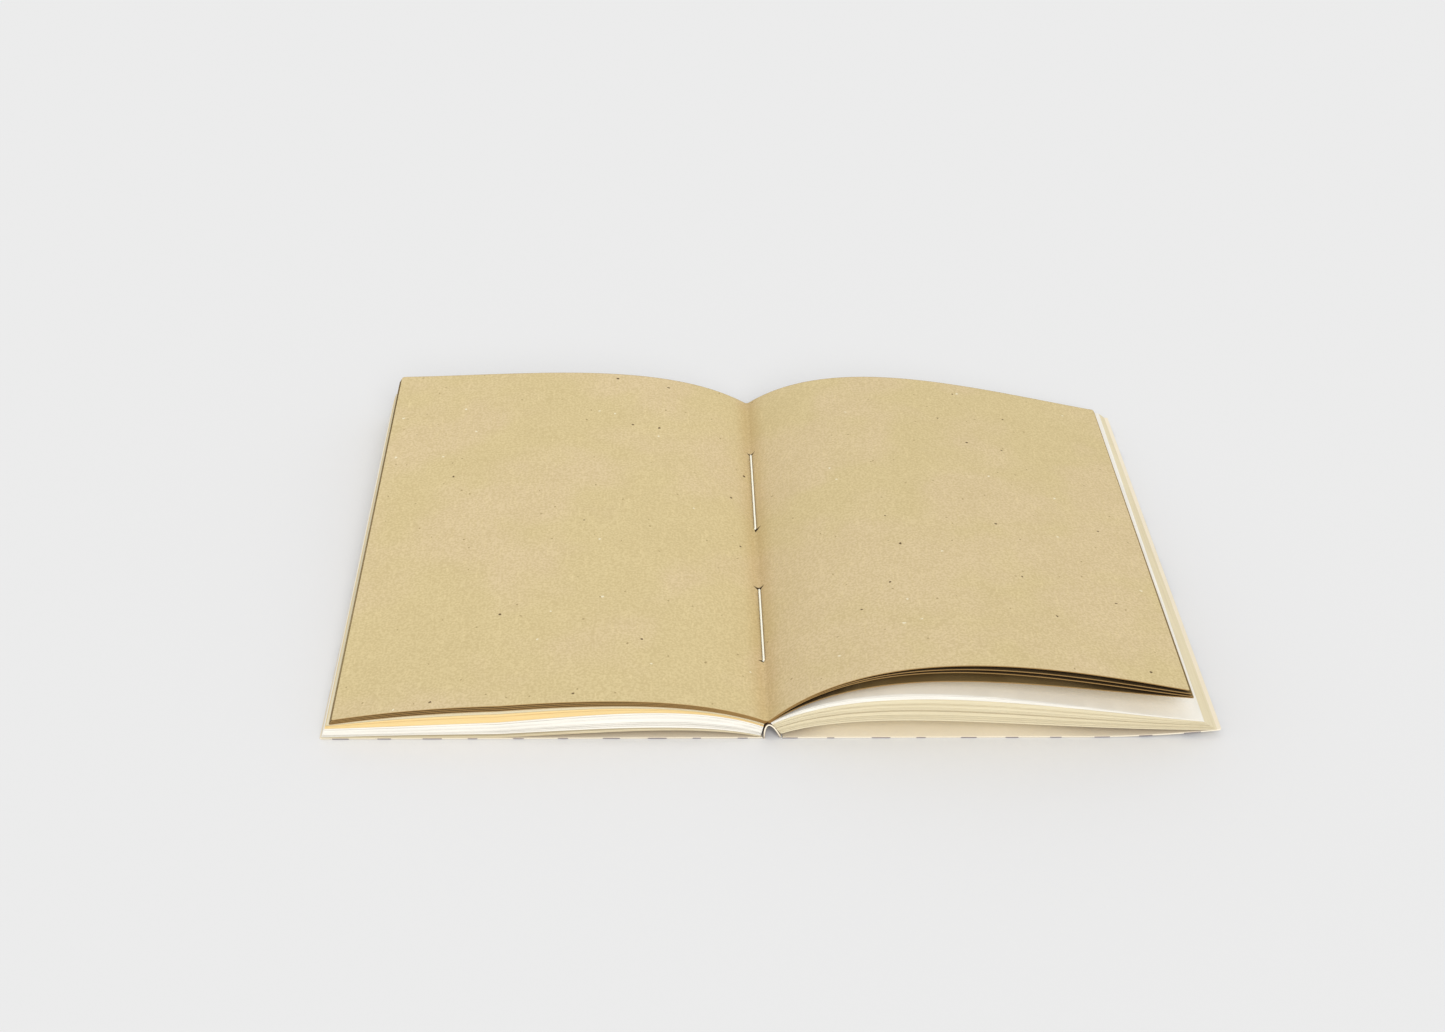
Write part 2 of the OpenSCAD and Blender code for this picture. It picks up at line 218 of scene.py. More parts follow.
@dataclass
class Shell:
    """Closed sheet or block over a grid of two parameters, with stacked rows as its walls.

    The outline loop runs along the tail edge, the fore-edge, the head edge and back along the
    fold side. Each wall row repeats the loop at its own height share w, drawn in by its inset,
    and the lowest and highest rows carry the bottom and top grids.
    """

    place: Place
    t: np.ndarray
    v: np.ndarray
    levels: np.ndarray
    insets: np.ndarray
    mirrored: bool
    wall_levels: np.ndarray | None = None
    shades: np.ndarray | None = None
    top_shade: float = 0.0
    fold_reach: float = 0.0
    fore_cut: float = 1.0
    fold_cut: float = 1.0

    def outline(self) -> FourArrays:
        """Parameters of the outline loop and which way is outwards at each of its places.

        Returns:
            The t and v values, and the outward signs across and along the book.
        """
        t, v = self.t, self.v
        loop_t = np.concatenate([t, np.full(len(v) - 1, t[-1]), t[-2::-1], np.full(len(v) - 2, t[0])])
        loop_v = np.concatenate([np.full(len(t), v[0]), v[1:], np.full(len(t) - 1, v[-1]), v[-2:0:-1]])
        out_t = np.where(loop_t == t[-1], 1.0, np.where(loop_t == t[0], -1.0, 0.0))
        out_v = np.where(loop_v == v[-1], 1.0, np.where(loop_v == v[0], -1.0, 0.0))
        return loop_t, loop_v, out_t, out_v

    def wall(self) -> np.ndarray:
        """Places of the wall: each row is the outline, moved inwards along the sheet by its inset.

        Returns:
            Array of rows by outline places by 3.
        """
        loop_t, loop_v, out_t, out_v = self.outline()
        step = 1e-3 * (self.t[-1] - self.t[0])
        shape = (len(self.levels), len(loop_t))
        w = np.broadcast_to(self.levels[:, None], shape)
        edge_w = w if self.wall_levels is None else np.broadcast_to(self.wall_levels[:, None], shape)
        t, v = np.broadcast_to(loop_t, shape), np.broadcast_to(loop_v, shape)
        here = self.place(t, v, w)
        flat = self.place(t, v, edge_w)
        here[0] = np.where(out_t > 0, flat[0], here[0])
        inner = self.place(t - step * out_t, v, edge_w)
        run = flat - inner
        length = np.linalg.norm(run, axis=0)
        run = run / np.where(length > 0, length, 1)
        inset = self.insets if self.insets.ndim == 2 else self.insets[:, None]
        here = here - run * (inset - self.fold_reach * (out_t < 0)) * np.abs(out_t)
        here[1] -= inset * out_v
        return np.moveaxis(here, 0, -1)

    def cap_indices(self, loop_start: int, inner_start: int) -> np.ndarray:
        """Indices of a cap grid whose rim is one wall row and whose middle is its own.

        Args:
            loop_start: First index of the wall row.
            inner_start: First index of the grid's inner vertices.

        Returns:
            Array of places along by places across.
        """
        across, along = len(self.t), len(self.v)
        index = np.empty((along, across), int)
        index[0] = np.arange(across)
        index[1:, -1] = across - 1 + np.arange(1, along)
        index[-1, -2::-1] = across + along - 2 + np.arange(1, across)
        index[-2:0:-1, 0] = 2 * across + along - 3 + np.arange(1, along - 1)
        index += loop_start
        inner = (along - 2) * (across - 2)
        index[1:-1, 1:-1] = inner_start + np.arange(inner).reshape(along - 2, across - 2)
        return index

    def build(self) -> FourArrays:
        """Works out the closed mesh.

        Returns:
            Vertices in millimetres, quads, how much each vertex belongs to a cut edge, and
            the shade of the leaf it lies on.
        """
        wall = self.wall()
        rows, count = wall.shape[:2]
        grid_v, grid_t = np.meshgrid(self.v[1:-1], self.t[1:-1], indexing="ij")
        low = np.moveaxis(self.place(grid_t, grid_v, np.full(grid_t.shape, self.levels[0])), 0, -1)
        high = np.moveaxis(self.place(grid_t, grid_v, np.full(grid_t.shape, self.levels[-1])), 0, -1)
        vertices = np.concatenate([wall.reshape(-1, 3), low.reshape(-1, 3), high.reshape(-1, 3)])
        around = np.arange(count)
        after = (around + 1) % count
        lower = np.arange(rows - 1)[:, None] * count
        here, beside = lower + around, lower + after
        walls = np.stack([here, beside, beside + count, here + count], -1)
        quads = [walls.reshape(-1, 4)]
        low_grid = rows * count
        high_grid = low_grid + low.size // 3
        for start, inner, upward in ((0, low_grid, False), (low_grid - count, high_grid, True)):
            index = self.cap_indices(start, inner)
            cap = np.stack([index[:-1, :-1], index[:-1, 1:], index[1:, 1:], index[1:, :-1]], -1)
            quads.append((cap if upward else cap[..., ::-1]).reshape(-1, 4))
        faces = np.concatenate(quads)
        if self.mirrored:
            faces = faces[:, ::-1]
        _, _, out_t, out_v = self.outline()
        side_cut = np.where(out_t > 0, self.fore_cut, self.fold_cut)
        edge = np.zeros(len(vertices))
        edge[:low_grid] = np.tile(np.where(out_v != 0, 1.0, side_cut), rows)
        shade = np.zeros(len(vertices))
        if self.shades is not None:
            shade[:low_grid] = np.repeat(self.shades, count)
        shade[high_grid:] = self.top_shade
        return vertices, faces, edge, shade


def make_piece(
    name: str,
    parts: list[FourArrays],
    material: bpy.types.Material,
    sharp_deg: float = 35.0,
) -> bpy.types.Object:
    """Puts worked-out shells into one mesh object at the origin.

    Args:
        name: Name of the piece.
        parts: Vertices in millimetres, quads, edge share and leaf shade of each shell.
        material: Finish of the piece.
        sharp_deg: Angle past which an edge is drawn sharp.

    Returns:
        The new object.
    """
    starts = np.cumsum([0] + [len(part[0]) for part in parts[:-1]])
    vertices = np.concatenate([part[0] for part in parts]) * MM
    quads = np.concatenate([part[1] + start for part, start in zip(parts, starts)])
    mesh = bpy.data.meshes.new(name)
    mesh.vertices.add(len(vertices))
    mesh.vertices.foreach_set("co", vertices.astype(np.float32).ravel())
    mesh.loops.add(quads.size)
    mesh.loops.foreach_set("vertex_index", quads.astype(np.int32).ravel())
    mesh.polygons.add(len(quads))
    mesh.polygons.foreach_set("loop_start", np.arange(0, quads.size, 4, dtype=np.int32))
    mesh.update(calc_edges=True)
    mesh.validate()
    for label, column in (("cut_edge", 2), ("leaf_shade", 3)):
        values = np.concatenate([part[column] for part in parts]).astype(np.float32)
        mesh.attributes.new(label, "FLOAT", "POINT").data.foreach_set("value", values)
    places = mesh.attributes.new("rest_place", "FLOAT_VECTOR", "POINT")
    places.data.foreach_set("vector", vertices.astype(np.float32).ravel())
    mesh.polygons.foreach_set("use_smooth", np.ones(len(mesh.polygons), dtype=bool))
    mesh.set_sharp_from_angle(angle=math.radians(sharp_deg))
    mesh.materials.append(material)
    piece = bpy.data.objects.new(name, mesh)
    bpy.context.scene.collection.objects.link(piece)
    LOG.info("%s: %d faces", name, len(quads))
    return piece


def fit_out(piece: bpy.types.Object, slot: Slot, *nodes: str) -> None:
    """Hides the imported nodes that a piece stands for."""
    if nodes:
        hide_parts(*nodes)


class Wiring:
    """Adds and links the nodes of one node tree."""

    def __init__(self, tree: bpy.types.NodeTree) -> None:
        """Keeps the tree that the nodes go into."""
        self.tree = tree

    def add(self, kind: str, inputs: dict | None = None, **settings: object) -> bpy.types.Node:
        """Adds a node.

        Args:
            kind: Type name of the node.
            inputs: Value or socket for each input, by its name or number.
            **settings: Properties of the node.

        Returns:
            The new node.
        """
        node = self.tree.nodes.new(kind)
        for key, value in settings.items():
            setattr(node, key, value)
        for key, value in (inputs or {}).items():
            if isinstance(value, Socket):
                self.link(value, node.inputs[key])
            else:
                node.inputs[key].default_value = value
        return node

    def group(self, tree: bpy.types.NodeTree, inputs: dict) -> bpy.types.Node:
        """Adds a node group with its inputs."""
        return self.add("ShaderNodeGroup", inputs, node_tree=tree)

    def link(self, source: Socket, target: Socket) -> None:
        """Links an output to an input."""
        self.tree.links.new(source, target)

    def random(self, vector: Socket) -> Socket:
        """Gives a random number from 0 to 1 for each place."""
        inputs = {"Vector": vector}
        return self.add("ShaderNodeTexWhiteNoise", inputs, noise_dimensions="3D").outputs["Value"]

    def point_value(self, name: str) -> Socket:
        """Reads one of the piece's point values by its name."""
        return self.add("ShaderNodeAttribute", attribute_name=name).outputs["Fac"]

    def relief(self, shader: bpy.types.Node, strength: float, depth_mm: float, height: object) -> None:
        """Gives a shader's surface a relief of some depth."""
        inputs = {"Strength": strength, "Distance": depth_mm * MM, "Height": height}
        self.link(self.add("ShaderNodeBump", inputs).outputs["Normal"], shader.inputs["Normal"])

    def math(self, operation: str, *values: object) -> Socket:
        """Adds a Math node on the values and gives its result."""
        return self.add("ShaderNodeMath", dict(enumerate(values)), operation=operation).outputs[0]

    def remap(self, value: object, low: float, high: float, start: float, end: float) -> Socket:
        """Maps low to start and high to end, clamped, with a soft step."""
        inputs = {"Value": value, "From Min": low, "From Max": high, "To Min": start, "To Max": end}
        node = self.add("ShaderNodeMapRange", inputs, interpolation_type="SMOOTHSTEP")
        return node.outputs["Result"]

    def mix(self, share: object, first: object, second: object, blend: str = "MIX") -> Socket:
        """Mixes two colours by a share."""
        inputs = {0: share, 6: first, 7: second}
        return self.add("ShaderNodeMix", inputs, data_type="RGBA", blend_type=blend).outputs[2]

    def noise(self, vector: object, scale: object, detail: float = 3.0) -> Socket:
        """Adds a Noise Texture and gives its value."""
        inputs = {"Vector": vector, "Scale": scale, "Detail": detail}
        return self.add("ShaderNodeTexNoise", inputs).outputs[0]


def new_material(
    name: str, roughness: float, specular: float
) -> tuple[bpy.types.Material, Wiring, bpy.types.Node]:
    """Starts a material.

    Args:
        name: Name of the material.
        roughness: Roughness of its surface.
        specular: Specular level of its surface.

    Returns:
        The material, its wiring and its Principled shader.
    """
    material = bpy.data.materials.new(name)
    material.use_nodes = True
    shader = material.node_tree.nodes["Principled BSDF"]
    shader.inputs["Roughness"].default_value = roughness
    shader.inputs["Specular IOR Level"].default_value = specular
    return material, Wiring(material.node_tree), shader


def tinted(colour: tuple[float, ...], tint: tuple[float, ...]) -> tuple[float, ...]:
    """Multiplies a colour by a tint, at most to full light."""
    return *(min(1.0, part * share) for part, share in zip(colour, tint)), 1.0


def rest_place(wires: Wiring) -> Socket:
    """Gives a spot's place on the piece at rest, in metres, so that marks stay put when a page turns."""
    return wires.add("ShaderNodeAttribute", attribute_name="rest_place").outputs["Vector"]


def new_group(name: str, inputs: dict[str, float], outputs: list[str]) -> bpy.types.NodeTree:
    """Starts a shader node group with a Vector input.

    Args:
        name: Name of the group.
        inputs: Float inputs with their usual values.
        outputs: Names of the float outputs.

    Returns:
        The new group, with its input and output nodes added.
    """
    tree = bpy.data.node_groups.new(name, "ShaderNodeTree")
    tree.interface.new_socket(name="Vector", in_out="INPUT", socket_type="NodeSocketVector")
    for label, value in inputs.items():
        socket = tree.interface.new_socket(name=label, in_out="INPUT", socket_type="NodeSocketFloat")
        socket.default_value = value
    for label in outputs:
        tree.interface.new_socket(name=label, in_out="OUTPUT", socket_type="NodeSocketFloat")
    tree.nodes.new("NodeGroupInput")
    tree.nodes.new("NodeGroupOutput")
    return tree


def group_ends(tree: bpy.types.NodeTree) -> tuple[bpy.types.Node, bpy.types.Node]:
    """Finds the input and output nodes of a group."""
    ends = {node.bl_idname: node for node in tree.nodes}
    return ends["NodeGroupInput"], ends["NodeGroupOutput"]


def fibre_group() -> bpy.types.NodeTree:
    """Pulp of a sheet: cloudy thickness, short crossing fibres and fine tooth.

    Fibres are three noises stretched along turned axes, kept where they peak.

    Returns:
        The group, with outputs Cloud, Fibre and Tooth, each about 0 to 1.
    """
    scales = {"Cloud Scale": 60.0, "Fibre Scale": 1150.0}
    tree = new_group("paper_pulp", scales, ["Cloud", "Fibre", "Tooth"])
    wires = Wiring(tree)
    start, end = group_ends(tree)
    cloud = wires.noise(start.outputs["Vector"], start.outputs["Cloud Scale"], 2.0)
    tooth = wires.noise(start.outputs["Vector"], start.outputs["Fibre Scale"], 2.0)
    fibres: Socket | float = 0.0
    for turn in (0.3, 1.4, 2.5):
        turned = wires.add(
            "ShaderNodeMapping",
            {"Vector": start.outputs["Vector"], "Rotation": (0.0, 0.0, turn), "Scale": (1.0, 0.13, 1.0)},
        )
        streak = wires.noise(turned.outputs[0], start.outputs["Fibre Scale"], 1.0)
        fibres = wires.math("ADD", fibres, wires.remap(streak, 0.56, 0.72, 0.0, 0.5))
    wires.link(wires.remap(cloud, 0.3, 0.7, 0.0, 1.0), end.inputs["Cloud"])
    wires.link(fibres, end.inputs["Fibre"])
    wires.link(tooth, end.inputs["Tooth"])
    return tree


def painted_shade_group() -> bpy.types.NodeTree:
    """Share of shade painted into a spot's colour in a gap or fold: 0 in the open, 1 deep inside.

    Returns:
        The group. Reach is the distance in metres within which neighbours count.
    """
    tree = new_group("painted_shade", {"Reach": 0.006}, ["Depth"])
    wires = Wiring(tree)
    start, end = group_ends(tree)
    # Ambient occlusion sets how much shade is painted into the colour.
    around = wires.add("ShaderNodeAmbientOcclusion", {"Distance": start.outputs["Reach"]}, samples=6)
    wires.link(wires.remap(around.outputs["AO"], 0.2, 0.85, 1.0, 0.0), end.inputs["Depth"])
    return tree


def prick_group() -> bpy.types.NodeTree:
    """Painted shade in the torn slit of a needle: two short strokes that rise to both sides of a point on
    the fold.

    A spot is in the mark when it lies within Width of the line y = Place + Slope * |x - Fold|,
    no farther out than Reach. All lengths are metres.

    Returns:
        The group, with its Mask output.
    """
    values = {"Fold": 0.0, "Place": 0.0, "Slope": 0.5, "Left": 0.001, "Right": 0.001, "Width": 0.0002}
    tree = new_group("needle_slit_shade", values, ["Mask"])
    wires = Wiring(tree)
    start, end = group_ends(tree)
    parts = wires.add("ShaderNodeSeparateXYZ", {"Vector": start.outputs["Vector"]})
    off = wires.math("SUBTRACT", parts.outputs["X"], start.outputs["Fold"])
    away = wires.math("ABSOLUTE", off)
    rise = wires.math("MULTIPLY", away, start.outputs["Slope"])
    line = wires.math("ADD", start.outputs["Place"], rise)
    miss = wires.math("ABSOLUTE", wires.math("SUBTRACT", parts.outputs["Y"], line))
    on_right = wires.math("GREATER_THAN", off, 0.0)
    span = wires.math("SUBTRACT", start.outputs["Right"], start.outputs["Left"])
    reach = wires.math("ADD", start.outputs["Left"], wires.math("MULTIPLY", span, on_right))
    taper = wires.math("SUBTRACT", 1.15, wires.math("DIVIDE", away, reach))
    room = wires.math("MULTIPLY", start.outputs["Width"], taper)
    inside = wires.math("DIVIDE", wires.math("SUBTRACT", room, miss), start.outputs["Width"])
    near = wires.math("LESS_THAN", away, reach)
    mask = wires.math("MULTIPLY", near, wires.remap(inside, -0.2, 0.5, 0.0, 1.0))
    wires.link(mask, end.inputs["Mask"])
    return tree


def fleck_group() -> bpy.types.NodeTree:
    """Scattered flecks: one lengthened spot in some of the cells of a jittered grid.

    Returns:
        The group. Spacing is cells a metre, Size a share of a cell, Share how many cells
        hold a fleck. Its output Mask is 1 in a fleck.
    """
    tree = new_group("flecks", {"Spacing": 300.0, "Size": 0.1, "Share": 0.3}, ["Mask"])
    wires = Wiring(tree)
    start, end = group_ends(tree)
    inputs = {"Vector": start.outputs["Vector"], "Scale": 700.0, "Detail": 1.0}
    wobble = wires.add("ShaderNodeTexNoise", inputs)
    bent = wires.add(
        "ShaderNodeMix",
        {0: 0.0012, 4: start.outputs["Vector"], 5: wobble.outputs["Color"]},
        data_type="VECTOR",
    )
    cells = wires.add(
        "ShaderNodeTexVoronoi",
        {"Vector": bent.outputs[1], "Scale": start.outputs["Spacing"]},
        feature="F1",
        voronoi_dimensions="2D",
    )
    lot = wires.random(cells.outputs["Position"])
    chosen = wires.math("LESS_THAN", lot, start.outputs["Share"])
    grown = wires.math("MULTIPLY", start.outputs["Size"], wires.math("ADD", lot, 0.6))
    near = wires.math("SUBTRACT", 1.0, wires.math("DIVIDE", cells.outputs["Distance"], grown))
    spot = wires.remap(near, 0.0, 0.5, 0.0, 1.0)
    wires.link(wires.math("MULTIPLY", chosen, spot), end.inputs["Mask"])
    return tree


@dataclass(frozen=True)
class Flecks:
    """One kind of fleck in a paper: how many, how big and in what colour."""

    colour: Colour
    spacing: float
    size: float
    share: float
    strength: float

    def over(self, wires: Wiring, group: bpy.types.NodeTree, spot: Socket, colour: object) -> Socket:
        """Lays the flecks over a colour.

        Args:
            wires: Wiring of the material.
            group: The shared fleck group.
            spot: Place on the piece at rest.
            colour: Colour under the flecks.

        Returns:
            The colour with its flecks.
        """
        inputs = {"Vector": spot, "Spacing": self.spacing, "Size": self.size, "Share": self.share}
        mask = wires.group(group, inputs).outputs["Mask"]
        return wires.mix(wires.math("MULTIPLY", mask, self.strength), colour, linear(*self.colour))


@dataclass(frozen=True)
class PaperFinish:
    """Finish of one paper: its colours, pulp, flecks, the lines between cut leaves with each leaf's random
    tone and the shade painted in the grooves, and shade painted into gaps and folds.
    """

    name: str
    colour: Colour
    edge_colour: Colour
    tone_and_line_shade_colour: Colour
    # Colour that the shade painted into gaps and folds darkens towards.
    painted_shade_colour: Colour = (150, 112, 62)
    mottle_colour: Colour = (0, 0, 0)
    mottle: float = 0.0
    cloud: float = 0.05
    fibre: float = 0.10
    tooth: float = 0.10
    tone_and_line_shade_depth: float = 0.8
    painted_shade: float = 0.8
    painted_shade_reach_mm: float = 5.0
    edge_painted_shade: float = 0.15
    bump_mm: float = 0.02
    flecks: tuple[Flecks, ...] = ()

    def sheet(self, wires: Wiring, groups: Groups, spot: Socket) -> tuple[Socket, Socket]:
        """Colour of the pulp with its clouds, fibres, tooth and flecks.

        Args:
            wires: Wiring of the material.
            groups: The shared node groups.
            spot: Place on the piece at rest.

        Returns:
            The colour and the relief of the sheet.
        """
        pulp = wires.group(groups["pulp"], {"Vector": spot})
        edge = wires.point_value("cut_edge")
        base = linear(*self.colour)
        dark, light = tinted(base, DARK_TINT), tinted(base, LIGHT_TINT)
        colour: object = base
        if self.mottle > 0:
            patches = wires.remap(wires.noise(spot, 24.0, 2.0), 0.42, 0.62, 0.0, self.mottle)
            colour = wires.mix(patches, colour, linear(*self.mottle_colour))
        colour = wires.mix(wires.math("MULTIPLY", pulp.outputs["Cloud"], self.cloud), colour, dark)
        colour = wires.mix(wires.math("MULTIPLY", pulp.outputs["Fibre"], self.fibre), colour, light)
        grain = wires.remap(pulp.outputs["Tooth"], 0.36, 0.64, self.tooth, 0.0)
        colour = wires.mix(grain, colour, dark)
        for kind in self.flecks:
            colour = kind.over(wires, groups["flecks"], spot, colour)
        colour = wires.mix(edge, colour, linear(*self.edge_colour))
        return colour, wires.math("ADD", pulp.outputs["Tooth"], pulp.outputs["Fibre"])

    def material(self, groups: Groups) -> bpy.types.Material:
        """Builds the node material, with shade painted into grooves, gaps and folds.

        Args:
            groups: The shared node groups.

        Returns:
            The material, ready for a piece.
        """
        material, wires, shader = new_material(self.name, 0.85, 0.25)
        spot = rest_place(wires)
        colour, relief = self.sheet(wires, groups, spot)
        # leaf_shade gives each leaf a random tone and paints shade in the grooves between leaves.
        shade = wires.point_value("leaf_shade")
        run = wires.add("ShaderNodeMapping", {"Vector": spot, "Scale": (30.0, 30.0, 900.0)})
        fade = wires.remap(wires.noise(run.outputs[0], 1.0, 1.0), 0.35, 0.6, 0.25, self.tone_and_line_shade_depth)
        colour = wires.mix(wires.math("MULTIPLY", shade, fade), colour, linear(*self.tone_and_line_shade_colour))
        colour = self.marks(wires, groups, spot, colour)
        # Painted shade: the colour darkens in gaps and folds, less on cut edges.
        depth = wires.group(groups["painted_shade"], {"Reach": self.painted_shade_reach_mm * MM}).outputs["Depth"]
        edge = wires.point_value("cut_edge")
        darkest = wires.remap(edge, 0.0, 1.0, self.painted_shade, self.painted_shade * self.edge_painted_shade)
        share = wires.math("MULTIPLY", depth, darkest)
        colour = wires.mix(share, colour, linear(*self.painted_shade_colour), "MULTIPLY")
        wires.link(colour, shader.inputs["Base Color"])
        wires.relief(shader, 0.4, self.bump_mm, relief)
        return material

    def marks(self, wires: Wiring, groups: Groups, spot: Socket, colour: object) -> Socket:
        """Painted shade and other marks laid over the sheet; a plain sheet has none."""
        return colour


@dataclass(frozen=True)
class KraftFinish(PaperFinish):
    """Finish of the kraft sheets: kraft pulp, painted shade along the gutter and on the lower leaves, and
    the torn needle pricks with painted shade in their slits.
    """

    fold_x: float = 0.0
    gutter_shade_mm: float = 7.0
    gutter_shade_depth: float = 0.75
    gutter_shade_colour: Colour = (242, 234, 222)
    inner_leaf_shade_depth: float = 0.9
    inner_leaf_shade_colour: Colour = (104, 84, 46)
    prick_shade_colour: Colour = (58, 42, 20)
    pricks: tuple[tuple[float, float, float, float, float], ...] = ()

    def marks(self, wires: Wiring, groups: Groups, spot: Socket, colour: object) -> Socket:
        """Paints shade along the gutter and on the lower leaves, and draws the torn pricks with painted
        shade in their slits.

        Args:
            wires: Wiring of the material.
            groups: The shared node groups.
            spot: Place on the piece at rest.
            colour: Colour of the sheet.

        Returns:
            The marked colour.
        """
        parts = wires.add("ShaderNodeSeparateXYZ", {"Vector": spot})
        # Painted shade along the gutter, darkest at the fold.
        away = wires.math("ABSOLUTE", wires.math("SUBTRACT", parts.outputs["X"], self.fold_x * MM))
        gutter = wires.remap(away, 0.0, self.gutter_shade_mm * MM, self.gutter_shade_depth, 0.0)
        colour = wires.mix(gutter, colour, linear(*self.gutter_shade_colour), "MULTIPLY")
        # Painted shade on the faces of the lower kraft leaves, seen in the gaps under the top leaf.
        shade = wires.point_value("leaf_shade")
        between = wires.remap(shade, 0.8, 0.95, 0.0, self.inner_leaf_shade_depth)
        colour = wires.mix(between, colour, linear(*self.inner_leaf_shade_colour))
        # Painted shade in the torn slits of the needle pricks.
        for place, left, right, slope, width in self.pricks:
            inputs = {
                "Vector": spot,
                "Fold": self.fold_x * MM,
                "Place": place * MM,
                "Slope": slope,
                "Left": left * MM,
                "Right": right * MM,
                "Width": width * MM,
            }
            mask = wires.group(groups["prick"], inputs).outputs["Mask"]
            colour = wires.mix(mask, colour, linear(*self.prick_shade_colour))
        return colour


@dataclass(frozen=True)
class CardFinish:
    """Finish of the cover card: cream inside, short printed bars outside, and painted shade in its
    hollows, strongest under the arch of the spine strip.
    """

    name: str = "cover_card"
    inner: Colour = (246, 235, 212)
    outer: Colour = (238, 232, 214)
    bar: Colour = (118, 104, 112)
    painted_shade_colour: Colour = (104, 74, 50)
    fibre_colour: Colour = (252, 246, 230)
    cloud_colour: Colour = (206, 188, 146)
    bump_mm: float = 0.02
    painted_shade: float = 0.4
    painted_shade_reach_mm: float = 6.0
    spine_shade_half: float = 3.2
    pitch: float = 15.0
    bar_share: float = 0.3
    bar_strength: float = 0.85
    row_pitch: float = 6.0

    def material(self, groups: Groups) -> bpy.types.Material:
        """Builds the node material. Bars stand in staggered rows on the outer face only; shade is painted
        into the hollows.

        Args:
            groups: The shared node groups.

        Returns:
            The material, ready for the covers and the spine strip.
        """
        material, wires, shader = new_material(self.name, 0.8, 0.3)
        spot = rest_place(wires)
        pulp = wires.group(groups["pulp"], {"Vector": spot})
        outside = wires.point_value("leaf_shade")
        parts = wires.add("ShaderNodeSeparateXYZ", {"Vector": spot})
        row = wires.math("FLOOR", wires.math("DIVIDE", parts.outputs["Y"], self.row_pitch * MM))
        shift = wires.add("ShaderNodeTexWhiteNoise", {"W": row}, noise_dimensions="1D").outputs["Value"]
        run = wires.math("ADD", wires.math("DIVIDE", parts.outputs["X"], self.pitch * MM), shift)
        cell = wires.math("FLOOR", run)
        seed = wires.add("ShaderNodeCombineXYZ", {"X": cell, "Y": row})
        lot = wires.random(seed.outputs[0])
        length = wires.math("MULTIPLY", wires.math("ADD", lot, 0.5), self.bar_share)
        inside_bar = wires.math("LESS_THAN", wires.math("FRACT", run), length)
        mask = wires.math("MULTIPLY", inside_bar, wires.remap(outside, 0.3, 0.7, 0.0, self.bar_strength))
        face = wires.mix(outside, linear(*self.inner), linear(*self.outer))
        for part, share, tint in (("Fibre", 0.1, self.fibre_colour), ("Cloud", 0.06, self.cloud_colour)):
            face = wires.mix(wires.math("MULTIPLY", pulp.outputs[part], share), face, linear(*tint))
        colour = wires.mix(mask, face, linear(*self.bar))
        # Painted shade: the card darkens in hollows, at full strength under the arch of the spine strip.
        depth = wires.group(groups["painted_shade"], {"Reach": self.painted_shade_reach_mm * MM}).outputs["Depth"]
        off = wires.math("ABSOLUTE", parts.outputs["X"])
        in_spine_shade = wires.math("LESS_THAN", off, self.spine_shade_half * MM)
        share = wires.math("ADD", self.painted_shade, wires.math("MULTIPLY", in_spine_shade, 1.0 - self.painted_shade))
        share = wires.math("MULTIPLY", depth, share)
        colour = wires.mix(share, colour, linear(*self.painted_shade_colour), "MULTIPLY")
        wires.link(colour, shader.inputs["Base Color"])
        height = wires.math("ADD", pulp.outputs["Tooth"], pulp.outputs["Fibre"])
        wires.relief(shader, 0.3, self.bump_mm, height)
        return material


@dataclass(frozen=True)
class ThreadFinish:
    """Finish of the waxed linen thread."""

    name: str = "linen_thread"
    colour: Colour = (255, 254, 240)
    # Colour of the shade painted where the plies meet.
    groove: Colour = (244, 236, 206)
    bump_mm: float = 0.03

    def material(self, groups: Groups) -> bpy.types.Material:
        """Builds the node material: pale plies with shade painted where they meet."""
        material, wires, shader = new_material(self.name, 0.4, 0.8)
        spot = rest_place(wires)
        pulp = wires.group(groups["pulp"], {"Vector": spot})
        # leaf_shade here is the share of shade painted on the side of each ply that faces the others.
        groove = wires.point_value("leaf_shade")
        colour = wires.mix(wires.math("MULTIPLY", groove, 0.5), linear(*self.colour), linear(*self.groove))
        wires.link(colour, shader.inputs["Base Color"])
        wires.relief(shader, 0.3, self.bump_mm, pulp.outputs["Tooth"])
        return material


